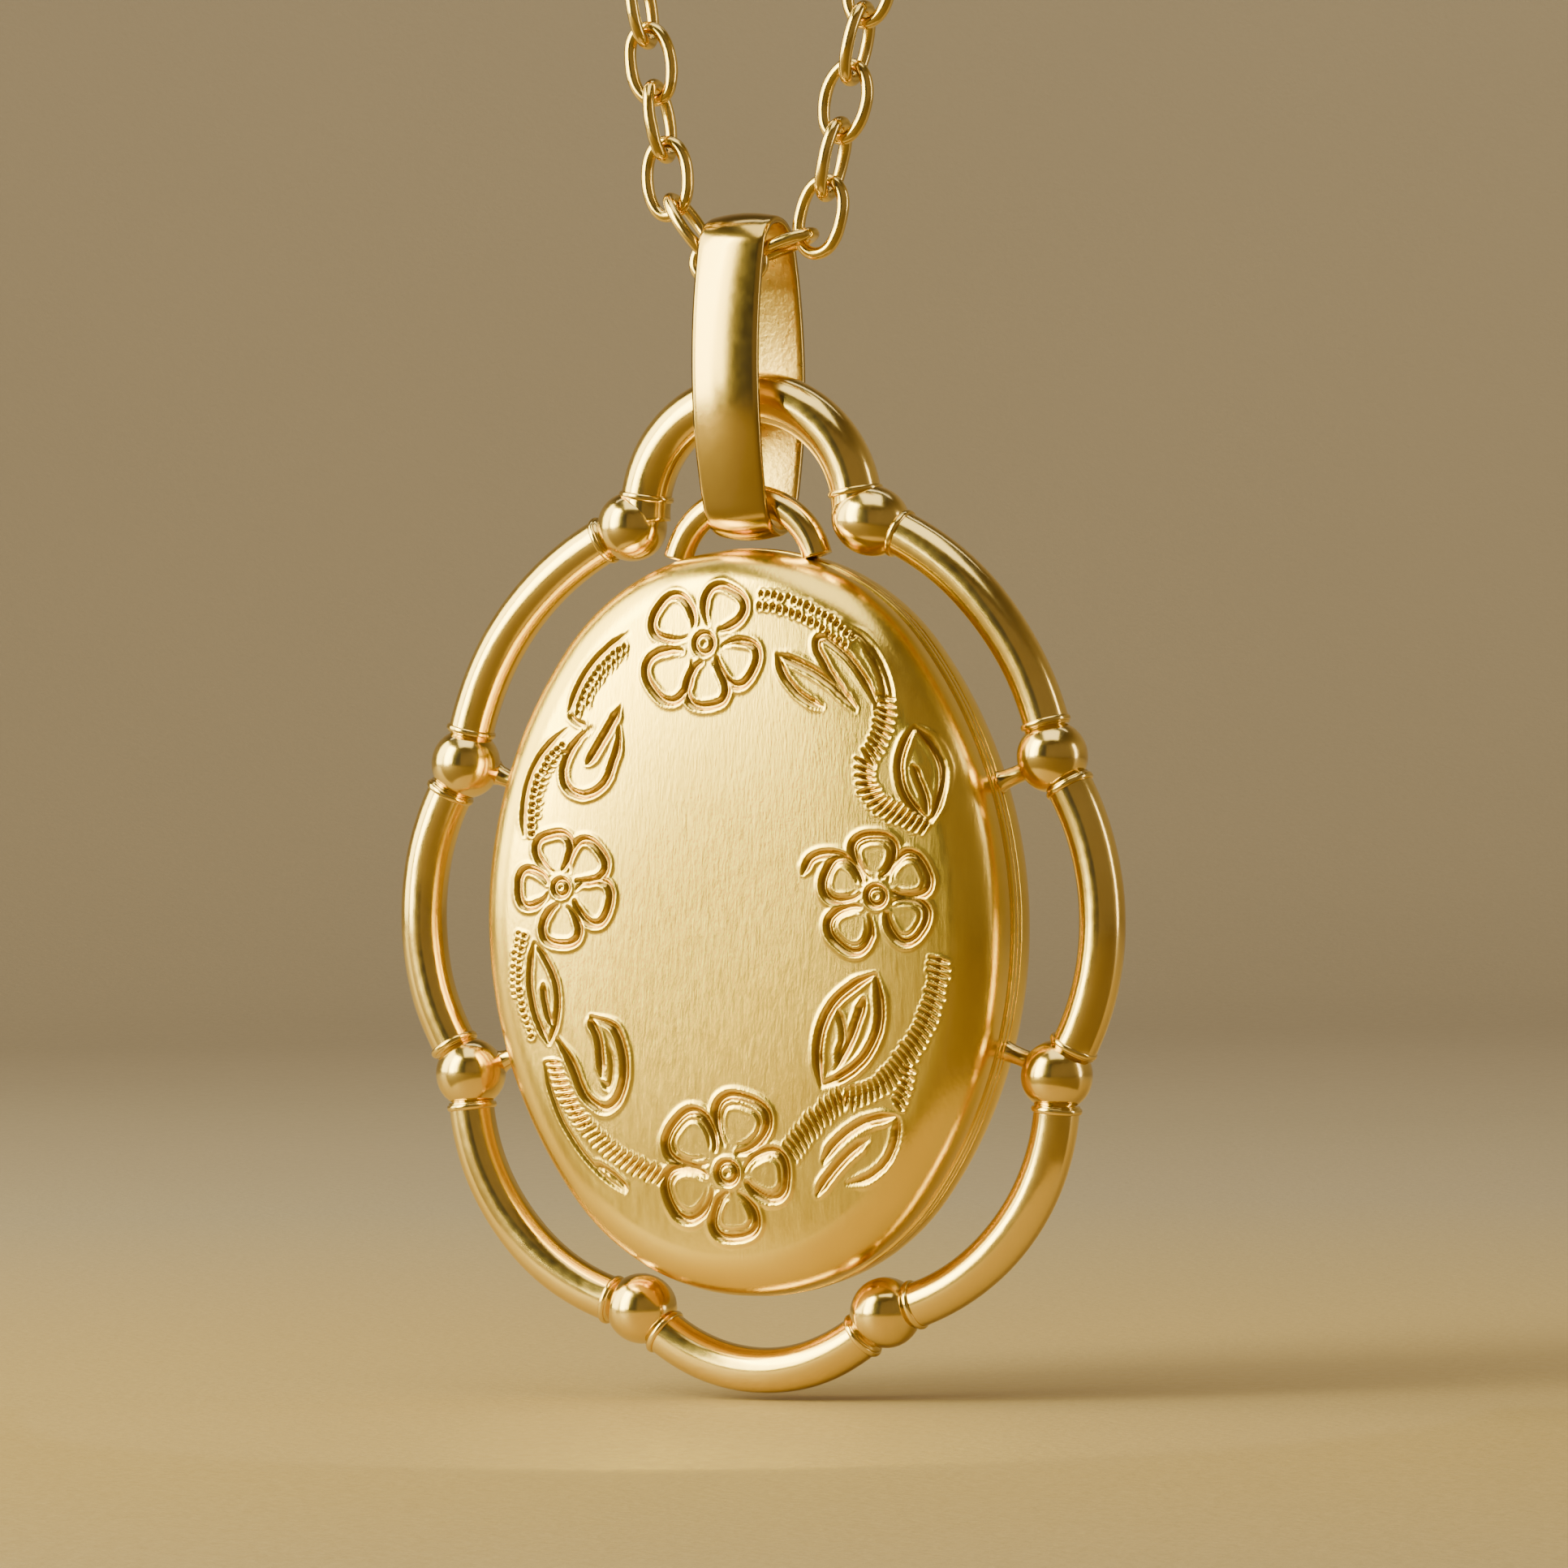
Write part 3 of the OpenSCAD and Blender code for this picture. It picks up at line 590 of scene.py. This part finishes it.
def frame_of_tubes(polished):
    collars = []
    for name, (i, rise) in RISES.items():
        centre, radius, start, end = bow_circle(BEADS[i], BEADS[i + 1], rise)
        inside = cut_back(radius, BEAD_R - TUBE_IN_BEAD)
        path = arc(centre, radius, start - inside, end + inside, 72)
        points, faces = sweep(path, circle(TUBE_R, 48), False)
        make(name + "_wire", uneven(points, 0.025, 9, i), faces, polished, "locket", [name],
             "polished_gold")
        seat = cut_back(radius, BEAD_R - COLLAR_IN_BEAD)
        collars.append(collar(centre, radius, start - seat, TUBE_R))
        collars.append(collar(centre, radius, end + seat, TUBE_R))
    centre = (0, ARCH_Z + FRAME_Z)
    path = arc(centre, ARCH_R, -3, 183, 90)
    points, faces = sweep(path, circle(ARCH_WIRE_R, 48), False)
    make("frame_top_arch_wire", uneven(points, 0.02, 8, 20), faces, polished, "locket",
         ["frame_top_arch"], "polished_gold")
    for at in ARCH_COLLARS:
        collars.append(collar(centre, ARCH_R, at, ARCH_WIRE_R))
    points, faces = joined(collars)
    make("frame_solder_collars", points, faces, polished, "locket", ["frame_collars"],
         "polished_gold")
    balls = [ball((x, z + FRAME_Z), BEAD_R) for x, z in BEADS[:8]]
    wide = np.array([math.cos(STRETCH_WAY), 0, math.sin(STRETCH_WAY)])
    x, z = BEADS[STRETCHED_BEAD]
    points, faces = balls[STRETCHED_BEAD]
    along = (points - (x, 0, z + FRAME_Z)) @ wide
    balls[STRETCHED_BEAD] = (points + along[:, None] * wide * STRETCH, faces)
    points, faces = joined(balls)
    make("frame_bead_balls", uneven(points, 0.02, 3.5, 31), faces, polished, "locket",
         ["frame_beads"], "polished_gold")


def lathe(profile, count):
    """Turns a profile of (radius, height) round z, closed at both ends."""
    a = np.arange(count) / count * TAU
    rows = [np.stack([r * np.cos(a), r * np.sin(a), np.full(count, h)], -1) for r, h in profile]
    faces = grid_faces(len(profile), count)
    n = len(profile) * count
    faces += [list(range(count)), list(range(n - count, n))]
    return np.concatenate(rows), faces


def turned_between(profile, start, end):
    """A lathe form set from start to end; its heights run from 0 to 1."""
    start, end = Vector(start), Vector(end)
    span = end - start
    shape = lathe([(r, h * span.length) for r, h in profile], 32)
    turn = span.to_track_quat("Z", "Y").to_matrix().to_4x4()
    return moved(shape, Matrix.Translation(start) @ turn)


def lugs(polished):
    """Stubby soldered posts, flared where they meet the bead and the rim."""
    profile = [(0.52, 0.0), (0.45, 0.06), (0.4, 0.14), (0.37, 0.3), (0.36, 0.55), (0.39, 0.78),
               (0.46, 0.92), (0.56, 1.0)]
    posts = []
    for sx in (-1, 1):
        for sz in (-1, 1):
            bead = Vector((sx * SIDE_BEAD[0], LUG_Y, sz * SIDE_BEAD[1] + FRAME_Z))
            foot = Vector((sx * LUG_FOOT[0], LUG_Y, sz * LUG_FOOT[1] + FRAME_Z))
            way = (foot - bead).normalized()
            posts.append(turned_between(profile, bead + way * 2.75, bead + way * 1.1))
    points, faces = joined(posts)
    make("frame_lug_posts", points, faces, polished, "locket", ["frame_lugs"], "polished_gold")


RING_Y, RING_Z, RING_R, RING_WIRE = -0.35, 13.8, 3.2, 1.2


def locket_ring(polished):
    path = arc((0, RING_Z), RING_R, 15, 165, 96)
    points, faces = sweep(path, circle(RING_WIRE / 2, 40), False, y=RING_Y)
    make("locket_ring_wire", uneven(points, 0.02, 5, 44), faces, polished, "locket",
         ["locket_ring"], "polished_gold")


BAIL_Z = 21.88
BAIL = FourArcs(2.5, 6.58, 24, 7, 25)
BAIL_HALF_W, BAIL_WALL, BAIL_EDGE = 1.45, 0.45, 0.27
BAIL_RINGS = 220
BAIL_FOOT_SHARE = 0.93       # the band's width at the foot, as a share of the rest


def bail(smooth, grained):
    """A closed loop of half-round band, a little narrower at its foot and grained inside."""
    across = np.linspace(-1, 1, 25)
    outer = [(-(BAIL_WALL - BAIL_EDGE) * s * s, s * BAIL_HALF_W) for s in across]
    soft = 0.07                  # the softened corners of the section
    outer[0] = (outer[0][0] - soft * 0.5, -BAIL_HALF_W + 0.005)
    outer[-1] = (outer[-1][0] - soft * 0.5, BAIL_HALF_W - 0.005)
    inner = [(-BAIL_WALL + 0.04, BAIL_HALF_W - 0.01), (-BAIL_WALL, BAIL_HALF_W - soft)]
    inner += [(-BAIL_WALL, s * BAIL_HALF_W) for s in np.linspace(0.8, -0.8, 9)]
    inner += [(-BAIL_WALL, -BAIL_HALF_W + soft), (-BAIL_WALL + 0.04, -BAIL_HALF_W + 0.01)]
    section = np.array(outer + inner)
    angle = BAIL.angle(np.arange(BAIL_RINGS) / BAIL_RINGS)
    y, z = BAIL.point(angle)
    ny, nz = np.cos(angle), np.sin(angle)
    width = BAIL_FOOT_SHARE + (1 - BAIL_FOOT_SHARE) * np.clip((z + 6.6) / 4.5, 0, 1)
    points = np.stack([
        section[None, :, 1] * width[:, None],
        y[:, None] + ny[:, None] * section[None, :, 0],
        BAIL_Z + z[:, None] + nz[:, None] * section[None, :, 0]], -1).reshape(-1, 3)
    faces = grid_faces(BAIL_RINGS, len(section), wrap_rows=True)
    piece = make("bail_band", points, faces, smooth, "bail", ["bail"], "polished_gold")
    piece.data.materials.append(grained)
    for face in piece.data.polygons:
        face.material_index = int(face.index % len(section) >= len(outer))


# ------------------------------------------------------------------ chain

LINK_L, LINK_W, LINK_WIRE = 3.5, 2.3, 0.5
LINK_STRAIGHT = LINK_L - LINK_W
LINK_R = (LINK_W - LINK_WIRE) / 2
LINKS = 7                    # in each strand
CHAIN_Z = BAIL_Z + BAIL.end_z - 0.11
CHAIN_SHIFT = 0.8            # the middle link hangs this far left of the bail's middle
JUMP_R, JUMP_WIRE = 1.15, 0.5
END_R, END_WIRE = 1.75, 0.6
# Where a strand starts, then the climb in degrees of its first link, its second and all others
STRANDS = {"left": (LINK_STRAIGHT / 2 + CHAIN_SHIFT, 54, 88, 81),
           "right": (LINK_STRAIGHT / 2 - CHAIN_SHIFT, 18, 74, 76)}


def link_shape(seed):
    """One oval link along x, lying in the x-z plane, of softly bent round wire."""
    a = np.arange(72) / 72 * TAU
    half_l, half_w = (LINK_L - LINK_WIRE) / 2, LINK_R
    c, s = np.cos(a), np.sin(a)
    path = np.stack([half_l * np.sign(c) * np.abs(c) ** 0.92,
                     half_w * np.sign(s) * np.abs(s) ** 0.92], -1)
    points, faces = sweep(path, circle(LINK_WIRE / 2, 28), True)
    return uneven(points, 0.014, 2.2, seed), faces


def climbing(way):
    """The direction that climbs at that many degrees."""
    return np.array([math.cos(math.radians(way)), math.sin(math.radians(way))])


def strand_points(start, ways):
    """The ends of a strand's links, starting at the middle link's end."""
    at = [np.array([start, CHAIN_Z])]
    for n, way in enumerate(ways):
        span = LINK_L if n % 2 == 0 else LINK_STRAIGHT
        at.append(at[-1] + span * climbing(way))
    return at


def mirrored(shape):
    """The shape's mirror image, left for right."""
    return np.asarray(shape[0]) * (-1, 1, 1), [f[::-1] for f in shape[1]]


def strand(side, polished):
    """One side's links; returns where they end and the way they climb there."""
    start, first, second, rise = STRANDS[side]
    ways = [first, second] + [rise] * (LINKS - 2)
    at, links = strand_points(start, ways), []
    for n, way in enumerate(ways):
        mid = (at[n] + at[n + 1]) / 2
        place = Matrix.Translation((mid[0], 0, mid[1]))
        place = place @ Matrix.Rotation(-math.radians(way), 4, "Y")
        if n % 2 == 0:
            place = place @ Matrix.Rotation(math.pi / 2, 4, "X")
        links.append(moved(link_shape(50 + n + len(side) * 10), place))
    shape = joined(links)
    if side == "left":
        shape = mirrored(shape)
    make(f"chain_{side}_links", *shape, polished, "chain", [f"chain_{side}_strand"],
         "polished_gold")
    return at[-1], climbing(rise)


def wire_ring(name, centre, radius, wire, node, polished):
    path = arc(centre, radius, 0, 360, 97)[:-1]
    points, faces = sweep(path, circle(wire / 2, 28), True)
    make(name, points, faces, polished, "chain", [node], "polished_gold")


def past_link(radius, wire):
    """How far past a strand's end the middle of a ring hangs."""
    return radius - LINK_R - (wire - LINK_WIRE) / 2


def chain(polished):
    points, faces = moved(link_shape(49), Matrix.Translation((-CHAIN_SHIFT, 0, CHAIN_Z)))
    make("chain_middle_oval", points, faces, polished, "chain", ["chain_middle_link"],
         "polished_gold")
    end, way = strand("left", polished)
    centre = (end + way * past_link(JUMP_R, JUMP_WIRE)) * (-1, 1)
    wire_ring("clasp_jump_wire", centre, JUMP_R, JUMP_WIRE, "clasp_jump_ring", polished)
    end, way = strand("right", polished)
    centre = end + way * past_link(END_R, END_WIRE)
    wire_ring("chain_end_wire", centre, END_R, END_WIRE, "chain_end_ring", polished)


# ------------------------------------------------------------------ materials

MIX_A, MIX_B, MIX_RESULT = 6, 7, 2       # the Mix node's colour sockets


class Nodes:
    """Short forms for building one material's node tree in millimetres."""

    def __init__(self, name):
        self.material = bpy.data.materials.new(name)
        self.material.use_nodes = True
        self.tree = self.material.node_tree
        self.shader = self.tree.nodes["Principled BSDF"]
        self.mm = self.add("ShaderNodeVectorMath", operation="SCALE")
        self.mm.inputs["Scale"].default_value = 1000.0
        self.link(self.add("ShaderNodeTexCoord").outputs["Object"], self.mm.inputs[0])

    def add(self, kind, **settings):
        node = self.tree.nodes.new(kind)
        for key, value in settings.items():
            setattr(node, key, value)
        return node

    def link(self, source, target):
        self.tree.links.new(source, target)

    def noise(self, scale, stretch=(1, 1, 1), detail=3.0, rough=0.5):
        """Noise with scale features to the millimetre."""
        place = self.add("ShaderNodeMapping")
        place.inputs["Scale"].default_value = stretch
        self.link(self.mm.outputs[0], place.inputs["Vector"])
        noise = self.add("ShaderNodeTexNoise")
        noise.inputs["Scale"].default_value = scale
        noise.inputs["Detail"].default_value = detail
        noise.inputs["Roughness"].default_value = rough
        self.link(place.outputs[0], noise.inputs["Vector"])
        return noise.outputs["Fac"]

    def spread(self, source, low, high, to_low, to_high):
        """A value moved from one range to another."""
        node = self.add("ShaderNodeMapRange")
        limits = {"From Min": low, "From Max": high, "To Min": to_low, "To Max": to_high}
        for key, value in limits.items():
            node.inputs[key].default_value = value
        self.link(source, node.inputs["Value"])
        return node.outputs[0]

    def mix(self, factor, a, b):
        """Colour a to colour b; each is a colour or a socket."""
        node = self.add("ShaderNodeMix", data_type="RGBA")
        self.link(factor, node.inputs["Factor"])
        for socket, value in ((MIX_A, a), (MIX_B, b)):
            if isinstance(value, tuple):
                node.inputs[socket].default_value = (*value, 1)
            else:
                self.link(value, node.inputs[socket])
        return node.outputs[MIX_RESULT]

    def bump(self, source, height_mm, below=None):
        """A bump of that height, on top of another."""
        node = self.add("ShaderNodeBump")
        node.inputs["Distance"].default_value = height_mm * MM
        self.link(source, node.inputs["Height"])
        if below is not None:
            self.link(below, node.inputs["Normal"])
        return node.outputs[0]

    def into(self, source, socket):
        """Feeds the shader's socket."""
        self.link(source, self.shader.inputs[socket])

    def feeding(self, socket):
        """What feeds the shader's socket now."""
        return self.shader.inputs[socket].links[0].from_socket


def gold(name, colour, deep, rough, grain, grain_scale, stretch=(1, 1, 1), ripple=0.0):
    """Metal whose tint and roughness wander a little, with a fine grain under the polish. Grain and
    ripple are heights in millimetres, and rough is a range."""
    n = Nodes(name)
    n.shader.inputs["Metallic"].default_value = 1.0
    cloud = n.spread(n.noise(0.35, detail=2), 0.3, 0.7, 0.0, 1.0)
    n.into(n.mix(cloud, colour, deep), "Base Color")
    n.into(n.spread(n.noise(2.5, stretch, 4), 0.3, 0.7, rough[0], rough[1]), "Roughness")
    normal = n.bump(n.noise(grain_scale, stretch, 5, 0.6), grain)
    if ripple:
        normal = n.bump(n.noise(0.9, detail=1), ripple, normal)
    n.into(normal, "Normal")
    return n


SATIN = (0.98, 0.72, 0.155)
SATIN_DEEP = (0.95, 0.68, 0.13)
POLISH = (0.88, 0.67, 0.24)
POLISH_DEEP = (0.84, 0.62, 0.20)
# Painted shade: the bail's gold is a darker copy of the polished gold, which dims its highlights
SHADED_BAIL_GOLD = (0.67, 0.485, 0.16)
SHADED_BAIL_GOLD_DEEP = (0.64, 0.455, 0.135)
# Painted shade: the dark brown laid into the engraved grooves
GROOVE_SHADE_COLOUR = (0.46, 0.27, 0.06)


def satin(name, groove):
    """Satin gold with short upright brush marks; the grooves get a darker painted shade, which stands
    in for the shade in the cuts.
    """
    n = gold(name, SATIN, SATIN_DEEP, (0.20, 0.26), 0.0065, 6.0, (1.7, 1.0, 0.36))
    n.into(n.bump(n.noise(3.0, (1.4, 1.0, 0.4), 2), 0.0035, n.feeding("Normal")), "Normal")
    if groove:
        # Painted shade in the grooves, more of it the deeper each point's cut is
        shade_mark = n.add("ShaderNodeAttribute", attribute_name="groove")
        shade = n.spread(shade_mark.outputs["Fac"], 0.08, 0.75, 0.0, 0.9)
        n.into(n.mix(shade, n.feeding("Base Color"), GROOVE_SHADE_COLOUR), "Base Color")
    return n.material


def clear_window():
    n = Nodes("clear_window")
    n.shader.inputs["Base Color"].default_value = (0.98, 0.98, 0.96, 1)
    n.shader.inputs["Transmission Weight"].default_value = 1.0
    n.shader.inputs["IOR"].default_value = 1.49
    n.into(n.spread(n.noise(0.6, detail=4), 0.3, 0.7, 0.03, 0.09), "Roughness")
    return n.material


def photo_paper():
    """Blank matt photograph card, yellowed unevenly."""
    n = Nodes("photo_paper")
    tone = n.spread(n.noise(0.18, detail=3), 0.3, 0.7, 0.0, 1.0)
    n.into(n.mix(tone, (0.80, 0.74, 0.62), (0.69, 0.60, 0.46)), "Base Color")
    n.into(n.spread(n.noise(8, detail=3), 0.3, 0.7, 0.5, 0.65), "Roughness")
    n.into(n.bump(n.noise(14, detail=4), 0.006), "Normal")
    return n.material


def steel():
    n = Nodes("steel_pin")
    n.shader.inputs["Metallic"].default_value = 1.0
    n.into(n.mix(n.noise(1.5), (0.62, 0.60, 0.56), (0.50, 0.48, 0.45)), "Base Color")
    n.into(n.spread(n.noise(6, (1, 1, 0.2), 4), 0.3, 0.7, 0.18, 0.32), "Roughness")
    n.into(n.bump(n.noise(12, (1, 1, 0.15), 3), 0.002), "Normal")
    return n.material


PAPER = (0.314, 0.256, 0.210)
PAPER_PALE = (0.334, 0.271, 0.220)
# Painted light: the warm glow on the floor round the locket
PAINTED_GLOW_PAPER = (0.385, 0.28, 0.145)


def backdrop_paper():
    """Matt paper, with a painted warm glow on the floor round the locket that stands in for light
    thrown off the gold.
    """
    n = Nodes("backdrop_paper")
    reach = n.add("ShaderNodeVectorMath", operation="LENGTH")
    n.link(n.mm.outputs[0], reach.inputs[0])
    paper = n.mix(n.noise(0.02, detail=2), PAPER, PAPER_PALE)
    # The painted glow is full within 72 mm of the locket and gone by 150 mm
    away = n.spread(reach.outputs["Value"], 72, 150, 0.0, 1.0)
    n.into(n.mix(away, PAINTED_GLOW_PAPER, paper), "Base Color")
    n.into(n.spread(n.noise(1.5, detail=3), 0.3, 0.7, 0.5, 0.62), "Roughness")
    n.into(n.bump(n.noise(2.2, detail=5), 0.035), "Normal")
    return n.material


def card_felt(name, tone):
    """Rough cloth for a reflector card, a little darker in places."""
    n = Nodes(name)
    darker = tuple(0.8 * part for part in tone)
    n.into(n.mix(n.noise(0.05), darker, tone), "Base Color")
    n.shader.inputs["Roughness"].default_value = 0.9
    return n.material


def dress(names, material):
    """Gives carried-over CAD nodes their material."""
    for name in names:
        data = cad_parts[name].data
        data.materials.clear()
        data.materials.append(material)


# ------------------------------------------------------------------ studio
# Sizes here are in metres.

CASE_Z = -HANG * MM          # height of the case's middle
FLOOR_Z = -0.0622
ROOM_R = 0.58
ROOM_H = 1.1
COVE_R = 0.20
CAMERA_AZ = 25.0
CAMERA_DISTANCE = 0.35
HORIZON_Z = -0.0341
AIM_UP = -0.00337            # the picture's middle below the camera's height, at the locket
AIM_RIGHT = 0.00117
FIELD = 0.06293              # width of the view at the locket
ROLL = 0.87                  # the camera's own turn, degrees
SENSOR = 36.0                # the width of its sensor, mm
CARD_POINTS = 17             # along a reflector card's curve

# Area lights: turn, height, distance, (width, height), power, colour
LIGHTS = {
    "key": (-68, 0.155, 0.34, (0.13, 0.34), 2.7, (1.0, 0.92, 0.42)),
    "key_edge": (-53, 0.165, 0.34, (0.066, 0.32), 0.80, (1.0, 0.92, 0.40)),
    "left_fill": (-99, 0.155, 0.34, (0.20, 0.34), 1.7, (1.0, 0.92, 0.46)),
    "top": (0, 0.50, 0.12, (0.36, 0.36), 1.15, (1.0, 0.91, 0.60)),
    "right_strip": (80, 0.05, 0.36, (0.04, 0.30), 0.35, (1.0, 0.88, 0.70)),
}
WALL_WASH = (180, 0.40, 0.15, (0.50, 0.10), 0.55, (1.0, 0.95, 0.92))

# Reflector cards: (from, to) turns, low and high edges as (distance, height), felt and its colour
CARDS = {
    "front_card": ((-18, 62), (0.42, -0.018), (0.42, 0.34), "tan_felt", (0.21, 0.168, 0.16)),
    "side_card": ((-37, -18), (0.415, -0.018), (0.415, 0.34), "brown_felt", (0.042, 0.042, 0.10)),
    "edge_card": ((-47.5, -37), (0.41, -0.018), (0.41, 0.34), "dark_felt", (0.03, 0.026, 0.034)),
    "floor_card": ((-95, 75), (0.03, -0.0185), (0.41, -0.0175), "amber_felt",
                   (0.135, 0.088, 0.042)),
}


def studio_room(material):
    """A round paper sweep: floor, cove and wall in one, turned round the locket."""
    profile = [(0.002, 0.0)] + [(r, 0.0) for r in np.linspace(0.05, ROOM_R - COVE_R, 12)]
    profile += [(ROOM_R - COVE_R + COVE_R * math.sin(t), COVE_R - COVE_R * math.cos(t))
                for t in np.linspace(0.1, math.pi / 2, 20)]
    profile += [(ROOM_R, h) for h in np.linspace(COVE_R + 0.1, ROOM_H, 5)]
    count = 128
    a = np.arange(count) / count * TAU
    rows = np.concatenate([np.stack([r * np.cos(a), r * np.sin(a), np.full(count, FLOOR_Z + h)], -1)
                           for r, h in profile])
    faces = [f[::-1] for f in grid_faces(len(profile), count)] + [list(range(count))]
    mesh = bpy.data.meshes.new("studio_sweep")
    mesh.from_pydata(rows.tolist(), [], faces)
    mesh.polygons.foreach_set("use_smooth", [True] * len(mesh.polygons))
    mesh.materials.append(material)
    room = bpy.data.objects.new("studio_sweep", mesh)
    bpy.context.scene.collection.objects.link(room)


def view_axes():
    """The level directions from the locket to the camera and to the picture's right."""
    a = math.radians(CAMERA_AZ)
    return Vector((math.sin(a), -math.cos(a), 0)), Vector((math.cos(a), math.sin(a), 0))


def camera():
    back, right = view_axes()
    data = bpy.data.cameras.new("camera")
    data.sensor_width = SENSOR
    data.lens = CAMERA_DISTANCE * SENSOR / FIELD
    data.clip_start, data.clip_end = 0.01, 10.0
    eye = bpy.data.objects.new("camera", data)
    bpy.context.scene.collection.objects.link(eye)
    aim = right * AIM_RIGHT + Vector((0, 0, HORIZON_Z + AIM_UP))
    eye.location = back * CAMERA_DISTANCE + right * AIM_RIGHT + Vector((0, 0, HORIZON_Z))
    turn = (aim - eye.location).to_track_quat("-Z", "Y").to_matrix().to_4x4()
    turn = turn @ Matrix.Rotation(-math.radians(ROLL), 4, "Z")
    eye.rotation_mode = "QUATERNION"
    eye.rotation_quaternion = turn.to_quaternion()
    bpy.context.scene.camera = eye


def softbox(name, turn, height, distance, size, power, colour, target=(0, 0, CASE_Z)):
    """An area light. Turn is in degrees to the right of the camera's own direction, and height
    counts from the case's middle."""
    a = math.radians(CAMERA_AZ + turn)
    data = bpy.data.lights.new(name, "AREA")
    data.shape = "RECTANGLE"
    data.size, data.size_y = size
    data.energy = power
    data.color = colour
    light = bpy.data.objects.new(name, data)
    bpy.context.scene.collection.objects.link(light)
    light.location = Vector((math.sin(a) * distance, -math.cos(a) * distance, height + CASE_Z))
    light.rotation_mode = "QUATERNION"
    light.rotation_quaternion = (Vector(target) - light.location).to_track_quat("-Z", "Y")
    light.visible_camera = False


def reflector_card(name, turns, low, high, material):
    """A curved card that only reflections see, as jewellery is lit. Its low and high edges are
    (distance, height) from the case's middle."""
    a = np.radians(CAMERA_AZ + np.linspace(*turns, CARD_POINTS))
    rows = [np.stack([np.sin(a) * far, -np.cos(a) * far, np.full(CARD_POINTS, up + CASE_Z)], -1)
            for far, up in (low, high)]
    mesh = bpy.data.meshes.new(name)
    mesh.from_pydata(np.concatenate(rows).tolist(), [], grid_faces(2, CARD_POINTS, wrap_cols=False))
    mesh.materials.append(material)
    card = bpy.data.objects.new(name, mesh)
    bpy.context.scene.collection.objects.link(card)
    card.visible_camera = False
    card.visible_shadow = False
    card.visible_diffuse = False


def lighting():
    world = bpy.data.worlds.new("studio")
    world.use_nodes = True
    sky = world.node_tree.nodes["Background"]
    sky.inputs["Color"].default_value = (0.80, 0.70, 0.54, 1)
    sky.inputs["Strength"].default_value = 0.15
    bpy.context.scene.world = world
    for name, setting in LIGHTS.items():
        softbox(name, *setting)
    back, _ = view_axes()
    softbox("wall_wash", *WALL_WASH, back * -ROOM_R)
    for name, (turns, low, high, felt, tone) in CARDS.items():
        reflector_card(name, turns, low, high, card_felt(felt, tone))


# ------------------------------------------------------------------ everything

def build():
    polished = gold("polished_gold", POLISH, POLISH_DEEP, (0.14, 0.20), 0.0012, 7.0,
                    ripple=0.008).material
    polished_wire = gold("chain_gold", POLISH, POLISH_DEEP, (0.12, 0.2), 0.002, 8.0,
                         ripple=0.01).material
    inner = gold("inner_gold", SATIN, SATIN_DEEP, (0.2, 0.3), 0.002, 8.0).material
    covers(satin("satin_gold_engraved_groove_shade", True), satin("satin_gold", False))
    frame_of_tubes(polished)
    lugs(polished)
    locket_ring(polished)
    # The bail gets the darker painted-shade copy of the gold
    bail(gold("bail_gold_shaded", SHADED_BAIL_GOLD, SHADED_BAIL_GOLD_DEEP, (0.15, 0.19), 0.0012, 7.0).material,
         gold("bail_inner_gold_shaded", SHADED_BAIL_GOLD, SHADED_BAIL_GOLD_DEEP, (0.26, 0.36), 0.02, 4.5).material)
    chain(polished_wire)
    dress(["front_bezel", "back_bezel", "front_photo_frame", "back_photo_frame"], inner)
    dress(["front_hinge_knuckle", "back_hinge_knuckles", "clasp_body", "clasp_bolt"], polished)
    dress(["hinge_pin", "clasp_spring"], steel())
    dress(["front_window", "back_window"], clear_window())
    dress(["front_photo", "back_photo"], photo_paper())


camera()
lighting()
studio_room(backdrop_paper())
build()
